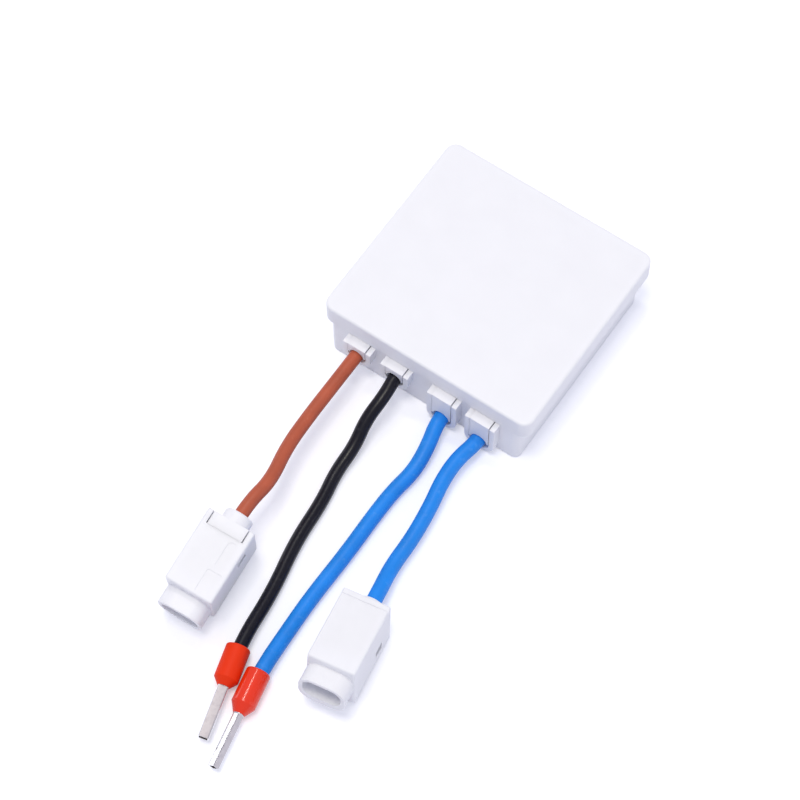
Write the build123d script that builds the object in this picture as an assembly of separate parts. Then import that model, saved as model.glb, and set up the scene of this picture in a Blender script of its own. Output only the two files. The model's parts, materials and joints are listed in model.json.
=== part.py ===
"""In-wall micro module: a flat relay module with four wires, two push-in terminals and two ferrules.

Millimetres. +Z is up, +X to the right and the four wires leave towards -Y. The origin is on the
underside, below the middle of the housing's box, so the base stands on the plane z = 0.
"""
from build123d import *
from math import pi, radians, tan
import os

os.makedirs("parts", exist_ok=True)

# Housing: outer sizes
cover_width = 36.0          # along X
cover_depth = 34.2          # along Y
module_height = 12.0
rim_over_exit = 0.7         # the rim ends this far above the upper exits' holes
cover_corner = 1.7          # radius of the cover's four uprights
cover_edge = 0.4            # rounding of the cover's top edge
cover_inner_corner = 0.6
cover_wall = 1.2            # at the front
cover_side_wall = 0.9       # at the other three sides
cover_roof = 1.2
overhang = 1.3              # the cover stands out past the base at the left, right and back
front_step = 0.05           # the base's front lies this far behind the cover's
base_wall = 1.2
base_front_wall = 2.2
base_floor = 1.2
base_corner = 1.2
base_edge = 0.3             # rounding of the base's bottom edge
cavity_corner = 0.7
parting_gap = 0.05          # between the cover's rim and the base's front ledge
lap_gap = 0.1               # between the cover's front wall and the base's lip
seat_gap = 0.05             # between the cover's roof and the base's lip
rib_gap = 0.05              # between the cover's grip ribs and the base's walls
rib_width = 1.2
rib_drop = 0.2              # the ribs end this far below the roof
rib_spread = 18.0           # distance between the two ribs of a side

# Wire exits: an open cradle on the base, closed by a clamp from above
cradle_reach = 1.5          # how far a cradle stands out in front of the cover
cradle_lift = 0.2           # the lower cradles end this far above the underside
ear_drop = 0.2              # the ears end this far below the cover's rim
clamp_near = 0.05           # at a clamp's left, in its slot
clamp_far = 0.15            # at its right
arch_gap = 0.15             # round a wire where it leaves under the clamp
clamp_drop = 0.05           # the clamp's top below the cover's rim
clamp_slope = 0.25          # fall of the clamp's front half
saddle_gap = 0.05           # round a wire where it is gripped
inner_exit = 4.19           # middle plane to the two inner exits
outer_exit_inset = 7.15     # from the cover's side to an outer exit
live_diameter = 2.1         # brown and black wires
neutral_diameter = 2.35     # blue wires
live_hole = 3.2             # mouth of a brown or black exit
neutral_hole = 3.5          # mouth of a blue exit
live_gap = 0.05             # a brown or black wire above the board
neutral_gap = 0.075         # a blue wire below the board
strand_diameter = 1.3       # bare conductor
tail_length = 3.4           # insulated wire inside the grip
strip_length = 2.4          # bare conductor on the board

# Circuit board and what stands on it
board_thickness = 0.8
board_share = 1 / 3         # the board's underside, as a share of the module's height
board_gap = 0.2             # to the walls
board_corner = 1.0
ledge_width = 1.6
ledge_length = 5.0
ledge_place = 4.5           # from the board's front and back edges to a ledge's middle
post_radius = 0.8           # cover posts that hold the board down
post_gap = 0.1
post_inset = 0.95           # from the board's front and back edges to a post's axis
front_post_inset = 1.4      # from the board's side edges to a front post's axis
back_post_inset = 3.8
standoff = 0.05             # under a part that stands on the board

side_margin = 0.6           # from the board's side edges to the relay and the radio
radio_distance = 1.0        # between the relay and the radio
relay_width = 12.5
relay_height = 5.0
relay_wall = 0.4
relay_front = 0.2
relay_base_depth = 1.2
coil_inset = 1.6            # from the relay's left end to the coil
coil_share = 0.45           # the coil's length, as a share of the relay's
coil_width = 5.0
coil_back = 1.5             # from the coil to the relay's back
coil_height = 3.2
flange_thickness = 0.6
core_radius = 0.8
pole_radius = 1.2
pole_thickness = 0.5
yoke_thickness = 0.9
yoke_gap = 0.2
strip_height = 3.2          # height of the yoke, the armature and the contact strips
pole_gap = 0.35             # open armature to pole face
armature_thickness = 0.8
armature_edge = 0.15
armature_foot = 1.6         # from the hinge to the armature's front end
armature_head = 1.5         # from the coil's axis to its back end
contact_arm = 2.3           # from the hinge to the contact
strip_foot = 3.2            # from the hinge to the contact strip's front end
strip_inset = 0.5           # the contact strips are this much lower at top and bottom
hinge_gap = 0.06            # armature to the yoke's edge
former_half = (1.3, 1.2)    # half width and half height of the bobbin's former
flange_rise = 0.3           # the flanges above the coil
coil_edge = 0.8
yoke_back = 1.9             # the yoke's foot past the coil's axis
contact_gap = 0.25
contact_radius = 0.8
contact_thickness = 0.4
contact_strip = 0.25
fixed_head = 1.2            # the fixed strip past its contact's axis
pin_width = 0.6
pin_depth = 0.35
coil_pin_inset = 0.8
coil_pin_pitch = 3.0
coil_pin_reach = 0.6
yoke_pin_inset = 1.2

capacitor_radius = 2.5
capacitor_inset = 0.8       # from the board's side edge to the can
capacitor_end = -4.0
capacitor_y = -3.0
can_edge = 0.4
can_pitch = 2.0             # between its leads
can_reach = 0.6             # the leads turn down this far past the can
groove_inset = 1.9          # rolled groove, from the can's end
groove_width = 0.7
groove_depth = 0.25
film_inset = 1.4            # from the board's side edge to the film capacitor
film_right = -3.4
film_front = -9.1
film_depth = 3.4
film_height = 5.0
film_lead_inset = 1.2
film_edge = 0.3
varistor_radius = 2.4
varistor_thickness = 2.8
varistor_at = (1.2, -7.4)
varistor_edge = 0.9
varistor_foot = 0.3
varistor_leads = [(-0.2, -7.9), (2.6, -6.9)]
resistor_radius = 1.1
resistor_waist = 0.95
resistor_length = 6.0
resistor_band = 1.3         # thicker part at each end
resistor_pitch = 7.0        # between its leads
resistor_inset = 5.7        # from the board's side edge to its middle
resistor_y = -8.8
choke_radius = 2.7
choke_height = 4.6
choke_flange = 0.8
choke_waist = 1.9
winding_radius = 2.45
choke_at = (0.0, -2.9)
chip_size = (4.9, 3.9, 1.5)
chip_at = (6.0, -4.6)
bridge_size = (4.7, 3.9, 1.4)
bridge_at = (-1.7, 3.7)     # on the underside
lead_radius = 0.3
lead_bend = 0.45            # bend of the resistor's leads, at their middle
chip_foot = 0.1             # a chip's body above the board
chip_leg = (0.4, 0.6, 0.35) # width, reach beyond the body and height of a chip's legs
cone_base = 0.6             # solder round a lead under the board
cone_tip = 0.35
cone_height = 0.7
mound_side = 2.0            # solder at a wire's bare end
mound_height = 0.8
mound_slope = 25.0
radio_size = (7.4, 14.4, 0.8)
radio_front = -1.9
radio_corner = 0.4
shield_size = (6.4, 8.6, 1.6)
shield_skin = 0.2
antenna_length = 4.2
antenna_width = 0.4
antenna_pitch = 1.45
antenna_thickness = 0.08
small_part = (1.2, 0.7, 0.6)
small_places = [
    (4.6, -12.4), (6.6, -12.4), (8.6, -12.6), (-6.9, -11.8), (-6.9, -10.4), (0.6, -11.2), (-0.8, -12.6), (3.0, 13.6),
]
small_insets = (2.2, 3.6)   # two columns of small parts, from the board's side edge
small_rows = (-4.9, -3.4)

# Pairing key and lamp, both recessed in the underside
key_at = (-6.0, 8.0)
key_radius = 1.7
key_skirt = 2.3             # radius of the collar that keeps the key in
key_collar = 0.4
key_recess = 0.3
key_gap = 0.1
key_well = 2.9              # radius of the well round the collar
well_wall = 0.7
key_travel = 0.25
key_seat = 0.02             # between the collar and the floor it hangs on
well_margin = 0.4           # the well's wall above the pressed collar
key_edge = 0.3
switch_size = (3.0, 3.4, 1.3)
switch_corner = 0.3
switch_hole = 0.8           # radius and depth of the plunger's hole
plunger_radius = 0.75
plunger_drop = 0.4          # the plunger's end below the switch
plunger_depth = 0.5         # its length inside the switch
pipe_at = (-6.0, 2.6)
pipe_radius = 1.0
pipe_flange = 1.4
pipe_flange_height = 0.4
lamp_size = (1.6, 0.8, 0.6)

# Push-in terminals: a tapered casing, an end cap with a round boss and an oval nozzle
terminal_length = 11.8
terminal_height = 9.0
terminal_wide = 7.7         # the side with the end cap's tongue
terminal_narrow = 7.3       # the plain side
terminal_wall = 0.85
terminal_edge = 0.35
finger = 0.85               # width of the casing beside the end cap's tongue
cap_tongue = 2.1            # the end cap's length in the wide side
cap_wall = 1.2
cap_gap = 0.05              # round the end cap
slit = 0.2                  # beside its tongue
tongue_gap = 0.01           # in front of its tongue
boss_radius = 2.2
boss_length = 1.9
boss_height = 3.5           # wire axis above the wide side
nozzle_width = 7.1
nozzle_height = 5.7
nozzle_length = 2.85
nozzle_corner = 2.2
nozzle_wall = 0.6
nozzle_rise = 4.8           # nozzle axis above the wide side
socket_height = 3.9         # the nozzle's opening is lower than the nozzle
socket_lift = 0.35          # and nearer to its narrow side
socket_depth = 4.3          # from the nozzle's mouth to the guide wall
guide_wall = 1.2
guide_radius = 1.5
window_at = 3.8             # from the rear face
window_height = 2.6         # above the wide side
window_size = (2.0, 1.5)
rear_edge = 0.2
line_at = 0.9               # fine line across the narrow side, from the rear face
line_width = 0.2
line_depth = 0.12
pad_size = (3.8, 2.5)       # shallow pad and groove in the wide side, for the strip length
pad_centre = (9.5, -2.0)
groove_size = (4.5, 1.4)
groove_centre = (4.95, -2.0)
relief = 0.12
bar_width = 4.4
bar_thickness = 0.6
bar_length = 6.2
shelf_depth = 0.6           # two shelves hold the bar's front half
shelf_length = 3.4
shelf_reach = 0.9
spring_thickness = 0.3
spring_width = 3.6
spring_length = 3.6
spring_lip = 1.3            # the spring's leg on the guide wall
leaf_length = 5.4
leaf_angle = 48.0           # the leaf's fall towards the bar
leaf_gap = 0.06
leaf_eye = 0.35             # radius of the leaf's rolled root

cord_entry = 1.2            # a wire's insulation ends this far inside the boss
conductor_reach = 4.2       # the bare end reaches this far past the rear face

# Where a terminal lies: middle of its lower rear edge, yaw, pitch and roll, and which side is up
terminals = [
    ("left", (-9.62, -50.08), -86.5, 8.0, -5.0, True, live_diameter),
    ("right", (13.3, -50.27), -80.6, -6.0, 0.0, False, neutral_diameter),
]

# Ferrules: a plastic collar on a tinned pin; both lie on the floor
collar_radius = 1.82
collar_edge = 0.25
collar_wall = 0.3           # the collar's mouth is wider than the wire
collar_floor = 0.5          # the bore ends this far before the collar's end
cone_end_radius = 0.9
ferrule_pin_radius = 0.75
ferrule_pin_wall = 0.15
ferrule_flare = 0.95        # outer radius of the pin's flared root, inside the collar
ferrule_strand_inset = 0.5  # the strands end this far inside the pin's tip
ferrule_strand_gap = 0.03   # round the strands, inside the pin
ferrules = [
    ("black", (0.814, -63.66), -74.25, 5.1, 1.1, 8.0),
    ("blue", (5.344, -65.04), -78.67, 5.3, 1.5, 8.4),
]

# Free wires: first run straight out of the grip, then routes by hand to the far fitting
brown_run = 3.55
brown_route = [
    (-10.88, -24.00, 5.80), (-10.87, -29.60, 5.85),
    (-10.44, -36.00, 6.50), (-8.90, -42.00, 7.45), (-9.346, -46.661, 7.967), (-9.137, -50.120, 7.480),
]
black_run = 2.05
black_route = [
    (-3.81, -20.80, 5.45), (-4.24, -24.92, 3.95),
    (-3.71, -28.69, 2.00), (-3.83, -33.34, 1.06), (-2.75, -38.40, 1.06), (-2.27, -45.60, 1.06),
    (-0.38, -54.00, 1.12), (0.57, -62.79, 1.82), (2.0626, -68.0873, 1.82),
]
long_blue_run = 3.7
long_blue_route = [
    (5.22, -22.85, 2.15), (5.53, -26.90, 1.30),
    (4.85, -31.05, 1.19), (4.75, -35.90, 1.19), (4.90, -43.00, 1.19), (4.69, -51.50, 1.19),
    (4.99, -58.40, 1.25), (5.17, -64.16, 1.82), (6.287, -69.7465, 1.82),
]
short_blue_run = 3.2
short_blue_route = [
    (9.96, -22.10, 2.60), (10.08, -26.20, 2.40),
    (10.97, -30.62, 2.20), (11.58, -36.13, 2.00), (11.57, -41.30, 1.85), (12.615, -46.083, 3.073),
    (13.1265, -49.2222, 3.4077),
]
bend_share = 0.45           # an arc begins this share of the shorter run from its corner

# Levels above the floor
board_bottom = module_height * board_share
board_top = board_bottom + board_thickness
live_height = board_top + live_gap + live_diameter / 2
neutral_height = board_bottom - neutral_gap - neutral_diameter / 2
cradle_wall = neutral_height - neutral_hole / 2 - cradle_lift
rim_bottom = live_height + live_hole / 2 + rim_over_exit
roof_under = module_height - cover_roof
lip_top = roof_under - seat_gap
ledge_top = rim_bottom - parting_gap
ear_top = rim_bottom - ear_drop
clamp_top = rim_bottom - clamp_drop
part_foot = board_top + standoff
radio_top = board_top + radio_size[2]
well_height = key_collar + key_travel + well_margin
switch_bottom = board_bottom - switch_size[2]
key_top = switch_bottom - plunger_drop

# Places along Y, from the front to the back
cradle_front = -(cover_depth + cradle_reach) / 2
cover_front = cradle_front + cradle_reach
base_front = cover_front + front_step
lip_front = cover_front + cover_wall + lap_gap
wall_inside = base_front + base_front_wall
cover_back = (cover_depth + cradle_reach) / 2
base_back = cover_back - overhang
cover_middle = (cover_front + cover_back) / 2
board_front = wall_inside + board_gap
board_back = base_back - base_wall - board_gap

# Inside a terminal, in its own frame
guide_front = terminal_length + nozzle_length - socket_depth
guide_rear = guide_front - guide_wall
socket_floor = terminal_length - guide_front
inside_half = terminal_narrow / 2 - terminal_wall
inside_top = terminal_height - terminal_wall
tongue_half = terminal_wide / 2 - finger
bar_low = boss_height - strand_diameter / 2 - bar_thickness
leaf_x = guide_rear - spring_thickness - leaf_gap - leaf_eye
leaf_z = inside_top - spring_thickness - leaf_gap - leaf_eye

# Places along X
cover_side = cover_width / 2
base_side = cover_side - overhang
board_side = base_side - base_wall - board_gap
outer_exit = cover_side - outer_exit_inset
front_posts = board_side - front_post_inset
back_posts = board_side - back_post_inset
relay_left = side_margin - board_side
radio_left = board_side - side_margin - radio_size[0]
relay_right = radio_left - radio_distance
relay_length = relay_right - relay_left
coil_length = relay_length * coil_share
capacitor_left = capacitor_inset - board_side
film_left = film_inset - board_side
resistor_x = board_side - resistor_inset
small_corners = small_places + [(board_side - inset, y) for inset in small_insets for y in small_rows]

# Leads that pass the board, for the solder beneath it
can_end = capacitor_end + can_reach
film_leads = [(x, film_front + film_depth / 2) for x in (film_left + film_lead_inset, film_right - film_lead_inset)]
lead_places = film_leads + varistor_leads + [
    (can_end, capacitor_y - can_pitch / 2), (can_end, capacitor_y + can_pitch / 2),
    (resistor_x - resistor_pitch / 2, resistor_y), (resistor_x + resistor_pitch / 2, resistor_y),
]

# One row per wire: name, exit place, wire, mouth and height of its axis
exits = [
    ("brown", -outer_exit, live_diameter, live_hole, live_height),
    ("black", -inner_exit, live_diameter, live_hole, live_height),
    ("long_blue", inner_exit, neutral_diameter, neutral_hole, neutral_height),
    ("short_blue", outer_exit, neutral_diameter, neutral_hole, neutral_height),
]
cords = list(zip(exits, (brown_run, black_run, long_blue_run, short_blue_run),
                 (brown_route, black_route, long_blue_route, short_blue_route)))


def block(low, high):
    """Box between two opposite corners."""
    size = [b - a for a, b in zip(low, high)]
    return Pos(*low) * Box(*size, align=(Align.MIN, Align.MIN, Align.MIN))


def slab(low, high, corner):
    """Box between two opposite corners, with its four uprights rounded."""
    face = RectangleRounded(high[0] - low[0], high[1] - low[1], corner)
    middle = Pos((low[0] + high[0]) / 2, (low[1] + high[1]) / 2, low[2])
    return extrude(middle * face, high[2] - low[2])


def rod(start, axis, radius, length):
    """Cylinder from the centre of its first end, along an axis."""
    return Part() + Solid.make_cylinder(radius, length, Plane(origin=start, z_dir=axis))


def across(x, z, radius, front, back):
    """Cylinder along Y between two planes."""
    return rod((x, front, z), (0, 1, 0), radius, back - front)


def write(name, shape):
    """Write one sub-part and say how large it is."""
    export_step(shape, f"parts/{name}.step")
    print(f"{name:26s} solids {len(shape.solids())} volume {shape.volume:9.3f}")


def make_cover():
    """Flat lid with a rim, grip ribs inside it and four posts that hold the board down."""
    lid = slab((-cover_side, cover_front, rim_bottom), (cover_side, cover_back, module_height), cover_corner)
    lid = fillet(lid.faces().sort_by(Axis.Z)[-1].edges(), cover_edge)
    lid -= slab((-cover_side + cover_side_wall, cover_front + cover_wall, rim_bottom),
                (cover_side - cover_side_wall, cover_back - cover_side_wall, roof_under), cover_inner_corner)
    reach = overhang - rib_gap
    for side in (-1, 1):
        for place in (-1, 1):
            y = cover_middle + place * rib_spread / 2
            inner, outer = sorted((side * (cover_side - cover_side_wall), side * (cover_side - reach)))
            lid += block((inner, y - rib_width / 2, rim_bottom), (outer, y + rib_width / 2, roof_under - rib_drop))
        x = side * rib_spread / 2
        lid += block((x - rib_width / 2, cover_back - reach, rim_bottom),
                     (x + rib_width / 2, cover_back - cover_side_wall, roof_under - rib_drop))
        for x, y in ((side * front_posts, board_front + post_inset), (side * back_posts, board_back - post_inset)):
            lid += rod((x, y, board_top + post_gap), (0, 0, 1), post_radius, roof_under - board_top - post_gap)
    return lid


def make_base():
    """Open tray with a lip, four cradles, board ledges and the well of the pairing key."""
    tray = slab((-base_side, base_front, 0), (base_side, base_back, lip_top), base_corner)
    tray = fillet(tray.faces().sort_by(Axis.Z)[0].edges(), base_edge)
    tray -= block((-cover_side, cradle_front, ledge_top), (cover_side, lip_front, module_height))
    tray -= slab((-base_side + base_wall, wall_inside, base_floor),
                 (base_side - base_wall, base_back - base_wall, module_height), cavity_corner)
    for _, x, diameter, hole, height in exits:
        radius = hole / 2 + cradle_wall
        cradle = across(x, height, radius, cradle_front, wall_inside)
        cradle += block((x - radius, cradle_front, height), (x + radius, wall_inside, ear_top))
        tray += cradle
    for _, x, diameter, hole, height in exits:
        tray -= across(x, height, hole / 2, cradle_front - 1, lip_front)
        tray -= across(x, height, diameter / 2 + saddle_gap, lip_front, wall_inside + 1)
        tray -= block((x - hole / 2, cradle_front - 1, height), (x + hole / 2, wall_inside, module_height))
    for side in (-1, 1):
        for y in (board_front + ledge_place, board_back - ledge_place):
            inner, outer = sorted((side * (board_side - ledge_width), side * (base_side - base_wall)))
            tray += block((inner, y - ledge_length / 2, base_floor), (outer, y + ledge_length / 2, board_bottom))
    well = rod((*key_at, base_floor), (0, 0, 1), key_well + well_wall, well_height)
    well -= rod((*key_at, base_floor), (0, 0, 1), key_well, well_height)
    tray += well
    tray -= rod((*key_at, -1), (0, 0, 1), key_radius + key_gap, base_floor + 1)
    tray -= rod((*pipe_at, -1), (0, 0, 1), pipe_radius + saddle_gap, base_floor + 1)
    return tray


def make_clamp(x, diameter, hole, height):
    """Wedge pushed into a cradle: it closes the mouth in front and grips the wire behind."""
    left, right = x - hole / 2 + clamp_near, x + hole / 2 - clamp_far
    tongue = block((left, cradle_front, height), (right, lip_front, clamp_top))
    slope = Plane(origin=(left, cradle_front, clamp_top), x_dir=(0, 1, 0), z_dir=(1, 0, 0))
    run = (cover_front - cradle_front) / 2
    tongue -= extrude(slope * Polygon((0, 0), (run, 0), (0, -clamp_slope), align=None), right - left)
    tongue -= across(x, height, diameter / 2 + arch_gap, cradle_front - 1, lip_front)
    grip = block((left, lip_front, height), (right, wall_inside, lip_top))
    grip -= across(x, height, diameter / 2 + saddle_gap, lip_front, wall_inside)
    return tongue + grip


def make_tail(x, diameter, height):
    """The wire inside the housing: insulation in the grip, then the bare strands on the board."""
    tail = across(x, height, diameter / 2, lip_front, lip_front + tail_length)
    return tail + across(x, height, strand_diameter / 2, lip_front + tail_length,
                         lip_front + tail_length + strip_length)


def make_board():
    """Circuit board; every part stands on it or hangs under it."""
    return slab((-board_side, board_front, board_bottom), (board_side, board_back, board_top), board_corner)


def make_solder():
    """A mound at each wire's bare end and a cone under each lead that passes the board."""
    joints = []
    for _, x, diameter, hole, height in exits:
        y = lip_front + tail_length + strip_length / 2
        mound = extrude(Rectangle(mound_side, mound_side), mound_height, taper=mound_slope)
        if height > board_top:
            mound = Pos(x, y, board_top) * mound
        else:
            mound = Pos(x, y, board_bottom) * Rot(X=180) * mound
        joints.append(mound - across(x, height, strand_diameter / 2, y - mound_side, y + mound_side))
    relay_leads = [(x, pin_front + pin_depth / 2) for x, reach in relay_pins]
    for x, y in lead_places + relay_leads:
        joints.append(Part() + Solid.make_cone(cone_base, cone_tip, cone_height,
                                               Plane(origin=(x, y, board_bottom), z_dir=(0, 0, -1))))
    return Compound(children=[s for joint in joints for s in joint.solids()])


# Relay, lying on its side: its mechanism moves in the XY plane
relay_back = relay_front + relay_width
relay_top = part_foot + relay_height
relay_middle = part_foot + relay_height / 2
coil_left = relay_left + coil_inset
coil_right = coil_left + 2 * flange_thickness + coil_length
coil_y = relay_back - coil_back - coil_width / 2
pole_face = coil_right + pole_thickness
armature_face = pole_face + pole_gap
yoke_y = coil_y - coil_width / 2 - yoke_gap - yoke_thickness
yoke_edge = armature_face - hinge_gap
hinge_y = yoke_y + yoke_thickness / 2
contact_y = hinge_y - contact_arm
strip_low = relay_middle - strip_height / 2
strip_high = relay_middle + strip_height / 2
moving_face = armature_face + armature_thickness + contact_strip + contact_thickness
fixed_face = moving_face + contact_gap

# Relay pins: place along X and how far each reaches inside the relay's base
relay_inside = relay_front + relay_base_depth
relay_pins = [
    (coil_left + coil_pin_inset, coil_pin_reach),
    (coil_left + coil_pin_inset + coil_pin_pitch, coil_pin_reach),
    (yoke_edge - yoke_pin_inset, yoke_y - relay_inside),
    (fixed_face + contact_thickness + pin_depth / 2, 0),
]
pin_front = relay_front - pin_depth - standoff


def make_relay_case():
    """Five-sided box, open towards the front, where the relay's base closes it."""
    case = block((relay_left, relay_front, part_foot), (relay_right, relay_back, relay_top))
    case = fillet(case.edges().filter_by(Axis.Y), 0.3)
    return case - block((relay_left + relay_wall, relay_front - 1, part_foot + relay_wall),
                        (relay_right - relay_wall, relay_back - relay_wall, relay_top - relay_wall))


def make_relay_base():
    """Plate that closes the case, with a slot for each pin."""
    plate = block((relay_left + relay_wall, relay_front, part_foot + relay_wall),
                  (relay_right - relay_wall, relay_inside, relay_top - relay_wall))
    for x, reach in relay_pins:
        plate -= block((x - pin_width / 2, pin_front, relay_middle - pin_depth / 2),
                       (x + pin_width / 2, relay_inside + 1, relay_middle + pin_depth / 2))
    return plate


def make_relay_pins():
    """Four bent pins from the relay's base down to the board."""
    pins = []
    for x, reach in relay_pins:
        pin = block((x - pin_width / 2, pin_front, relay_middle - pin_depth / 2),
                    (x + pin_width / 2, relay_inside + reach, relay_middle + pin_depth / 2))
        pin += block((x - pin_width / 2, pin_front, board_top),
                     (x + pin_width / 2, pin_front + pin_depth, relay_middle))
        pins.append(pin)
    return Compound(children=[s for pin in pins for s in pin.solids()])


def make_bobbin():
    """Two flanges on a hollow former, round the core."""
    half_y, half_z = coil_width / 2, coil_height / 2 + flange_rise
    wide, high = former_half
    bobbin = block((coil_left, coil_y - wide, relay_middle - high), (coil_right, coil_y + wide, relay_middle + high))
    for x in (coil_left, coil_right - flange_thickness):
        bobbin += block((x, coil_y - half_y, relay_middle - half_z),
                        (x + flange_thickness, coil_y + half_y, relay_middle + half_z))
    return bobbin - rod((coil_left, coil_y, relay_middle), (1, 0, 0), core_radius, coil_right - coil_left)


def make_coil():
    """The winding, a rounded block round the former."""
    left, right = coil_left + flange_thickness, coil_right - flange_thickness
    wide, high = former_half
    coil = block((left, coil_y - coil_width / 2 + flange_rise, relay_middle - coil_height / 2),
                 (right, coil_y + coil_width / 2 - flange_rise, relay_middle + coil_height / 2))
    coil = fillet(coil.edges().filter_by(Axis.X), coil_edge)
    return coil - block((left, coil_y - wide, relay_middle - high), (right, coil_y + wide, relay_middle + high))


def make_core():
    """Iron core with its pole disc."""
    core = rod((coil_left - yoke_thickness, coil_y, relay_middle), (1, 0, 0), core_radius,
               pole_face - coil_left + yoke_thickness)
    return core + rod((coil_right, coil_y, relay_middle), (1, 0, 0), pole_radius, pole_thickness)


def make_yoke():
    """Angle of iron from the core's foot to the armature's hinge edge."""
    yoke = block((coil_left - yoke_thickness, yoke_y, strip_low), (yoke_edge, yoke_y + yoke_thickness, strip_high))
    foot = block((coil_left - yoke_thickness, yoke_y, strip_low), (coil_left, coil_y + yoke_back, strip_high))
    return yoke + foot - rod((coil_left - yoke_thickness, coil_y, relay_middle), (1, 0, 0), core_radius, yoke_thickness)


def make_armature():
    """Iron plate that rocks on the yoke's edge."""
    plate = block((armature_face, hinge_y - armature_foot, strip_low),
                  (armature_face + armature_thickness, coil_y + armature_head, strip_high))
    return fillet(plate.edges().filter_by(Axis.Z), armature_edge)


def make_moving_contact():
    """Spring strip riveted to the armature, with the moving contact."""
    left = armature_face + armature_thickness
    strip = block((left, hinge_y - strip_foot, strip_low + strip_inset),
                  (left + contact_strip, coil_y, strip_high - strip_inset))
    return strip + rod((left + contact_strip, contact_y, relay_middle), (1, 0, 0), contact_radius, contact_thickness)


def make_fixed_contact():
    """Fixed strip, in the relay's base, with its contact."""
    left = fixed_face + contact_thickness
    strip = block((left, relay_inside, strip_low + strip_inset),
                  (left + pin_depth, contact_y + fixed_head, strip_high - strip_inset))
    return strip + rod((fixed_face, contact_y, relay_middle), (1, 0, 0), contact_radius, contact_thickness)


def make_capacitor():
    """Electrolytic can on its side, with a rolled groove and two bent leads."""
    y, z = capacitor_y, part_foot + capacitor_radius
    end = capacitor_end
    can = rod((capacitor_left, y, z), (1, 0, 0), capacitor_radius, end - capacitor_left)
    can = fillet(can.edges().filter_by(GeomType.CIRCLE), can_edge)
    groove = rod((end - groove_inset, y, z), (1, 0, 0), capacitor_radius, groove_width)
    can -= groove - rod((end - groove_inset, y, z), (1, 0, 0), capacitor_radius - groove_depth, groove_width)
    for side in (-1, 1):
        lead_y = y + side * can_pitch / 2
        can += rod((end - lead_radius, lead_y, z), (1, 0, 0), lead_radius, can_reach + lead_radius)
        can += rod((end + can_reach, lead_y, board_top), (0, 0, 1), lead_radius, z - board_top)
    return can


def make_film_capacitor():
    """Potted box with rounded edges and two leads beneath."""
    box = block((film_left, film_front, part_foot), (film_right, film_front + film_depth, part_foot + film_height))
    box = fillet(box.edges(), film_edge)
    for place in film_leads:
        box += rod((*place, board_top), (0, 0, 1), lead_radius, 2 * lead_radius)
    return box


def make_varistor():
    """Coated disc on edge, with two leads."""
    x, y = varistor_at
    z = board_top + varistor_radius + varistor_foot
    disc = rod((x, y - varistor_thickness / 2, z), (0, 1, 0), varistor_radius, varistor_thickness)
    disc = fillet(disc.edges().filter_by(GeomType.CIRCLE), varistor_edge)
    for place in varistor_leads:
        disc += rod((*place, board_top), (0, 0, 1), lead_radius, varistor_radius)
    return disc


def make_resistor():
    """Fusible resistor lying on the board: thicker at its two ends, between two bent leads."""
    z = board_top + resistor_radius + standoff
    left, right = resistor_x - resistor_pitch / 2, resistor_x + resistor_pitch / 2
    bend = FilletPolyline((left, resistor_y, board_top), (left, resistor_y, z), (right, resistor_y, z),
                          (right, resistor_y, board_top), radius=lead_bend)
    body = sweep(Pos(left, resistor_y, board_top) * Circle(lead_radius), bend)
    body += rod((resistor_x - resistor_length / 2, resistor_y, z), (1, 0, 0), resistor_waist, resistor_length)
    for side in (-1, 1):
        end = resistor_x + side * (resistor_length - resistor_band) / 2
        body += rod((end - resistor_band / 2, resistor_y, z), (1, 0, 0), resistor_radius, resistor_band)
    return body


def make_choke_core():
    """Ferrite drum: two discs on a waist."""
    core = rod((*choke_at, part_foot), (0, 0, 1), choke_waist, choke_height)
    for z in (part_foot, part_foot + choke_height - choke_flange):
        core += rod((*choke_at, z), (0, 0, 1), choke_radius, choke_flange)
    return core


def make_choke_winding():
    """Winding round the drum's waist."""
    low = part_foot + choke_flange
    high = choke_height - 2 * choke_flange
    return rod((*choke_at, low), (0, 0, 1), winding_radius, high) - rod((*choke_at, low), (0, 0, 1), choke_waist, high)


def make_chip(size, place, board_face, up):
    """Chip with four legs on each long side; up is 1 on the board and -1 below it."""
    x, y = place
    leg_width, leg_reach, leg_height = chip_leg
    low, high = sorted((board_face + up * chip_foot, board_face + up * size[2]))
    chip = block((x - size[0] / 2, y - size[1] / 2, low), (x + size[0] / 2, y + size[1] / 2, high))
    chip = chamfer(chip.edges().filter_by(Axis.Z), leg_width / 2)
    low, high = sorted((board_face, board_face + up * leg_height))
    reach = size[1] / 2 + leg_reach
    for n in range(4):
        leg = x + size[0] * (n - 1.5) / 4
        chip += block((leg - leg_width / 2, y - reach, low), (leg + leg_width / 2, y + reach, high))
    return chip


def make_radio_board():
    """Small board of the radio, flat on the main board."""
    x, y = radio_left, radio_front
    return slab((x, y, board_top), (x + radio_size[0], y + radio_size[1], radio_top), radio_corner)


def make_radio_shield():
    """Pressed metal lid over the radio's parts."""
    x = radio_left + (radio_size[0] - shield_size[0]) / 2
    y = radio_front + (radio_size[0] - shield_size[0]) / 2
    lid = slab((x, y, radio_top), (x + shield_size[0], y + shield_size[1], radio_top + shield_size[2]), radio_corner)
    lid = fillet(lid.faces().sort_by(Axis.Z)[-1].edges(), shield_skin)
    low = (x + shield_skin, y + shield_skin, radio_top)
    high = (x + shield_size[0] - shield_skin, y + shield_size[1] - shield_skin, radio_top + shield_size[2] - shield_skin)
    return lid - slab(low, high, radio_corner - shield_skin)


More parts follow.
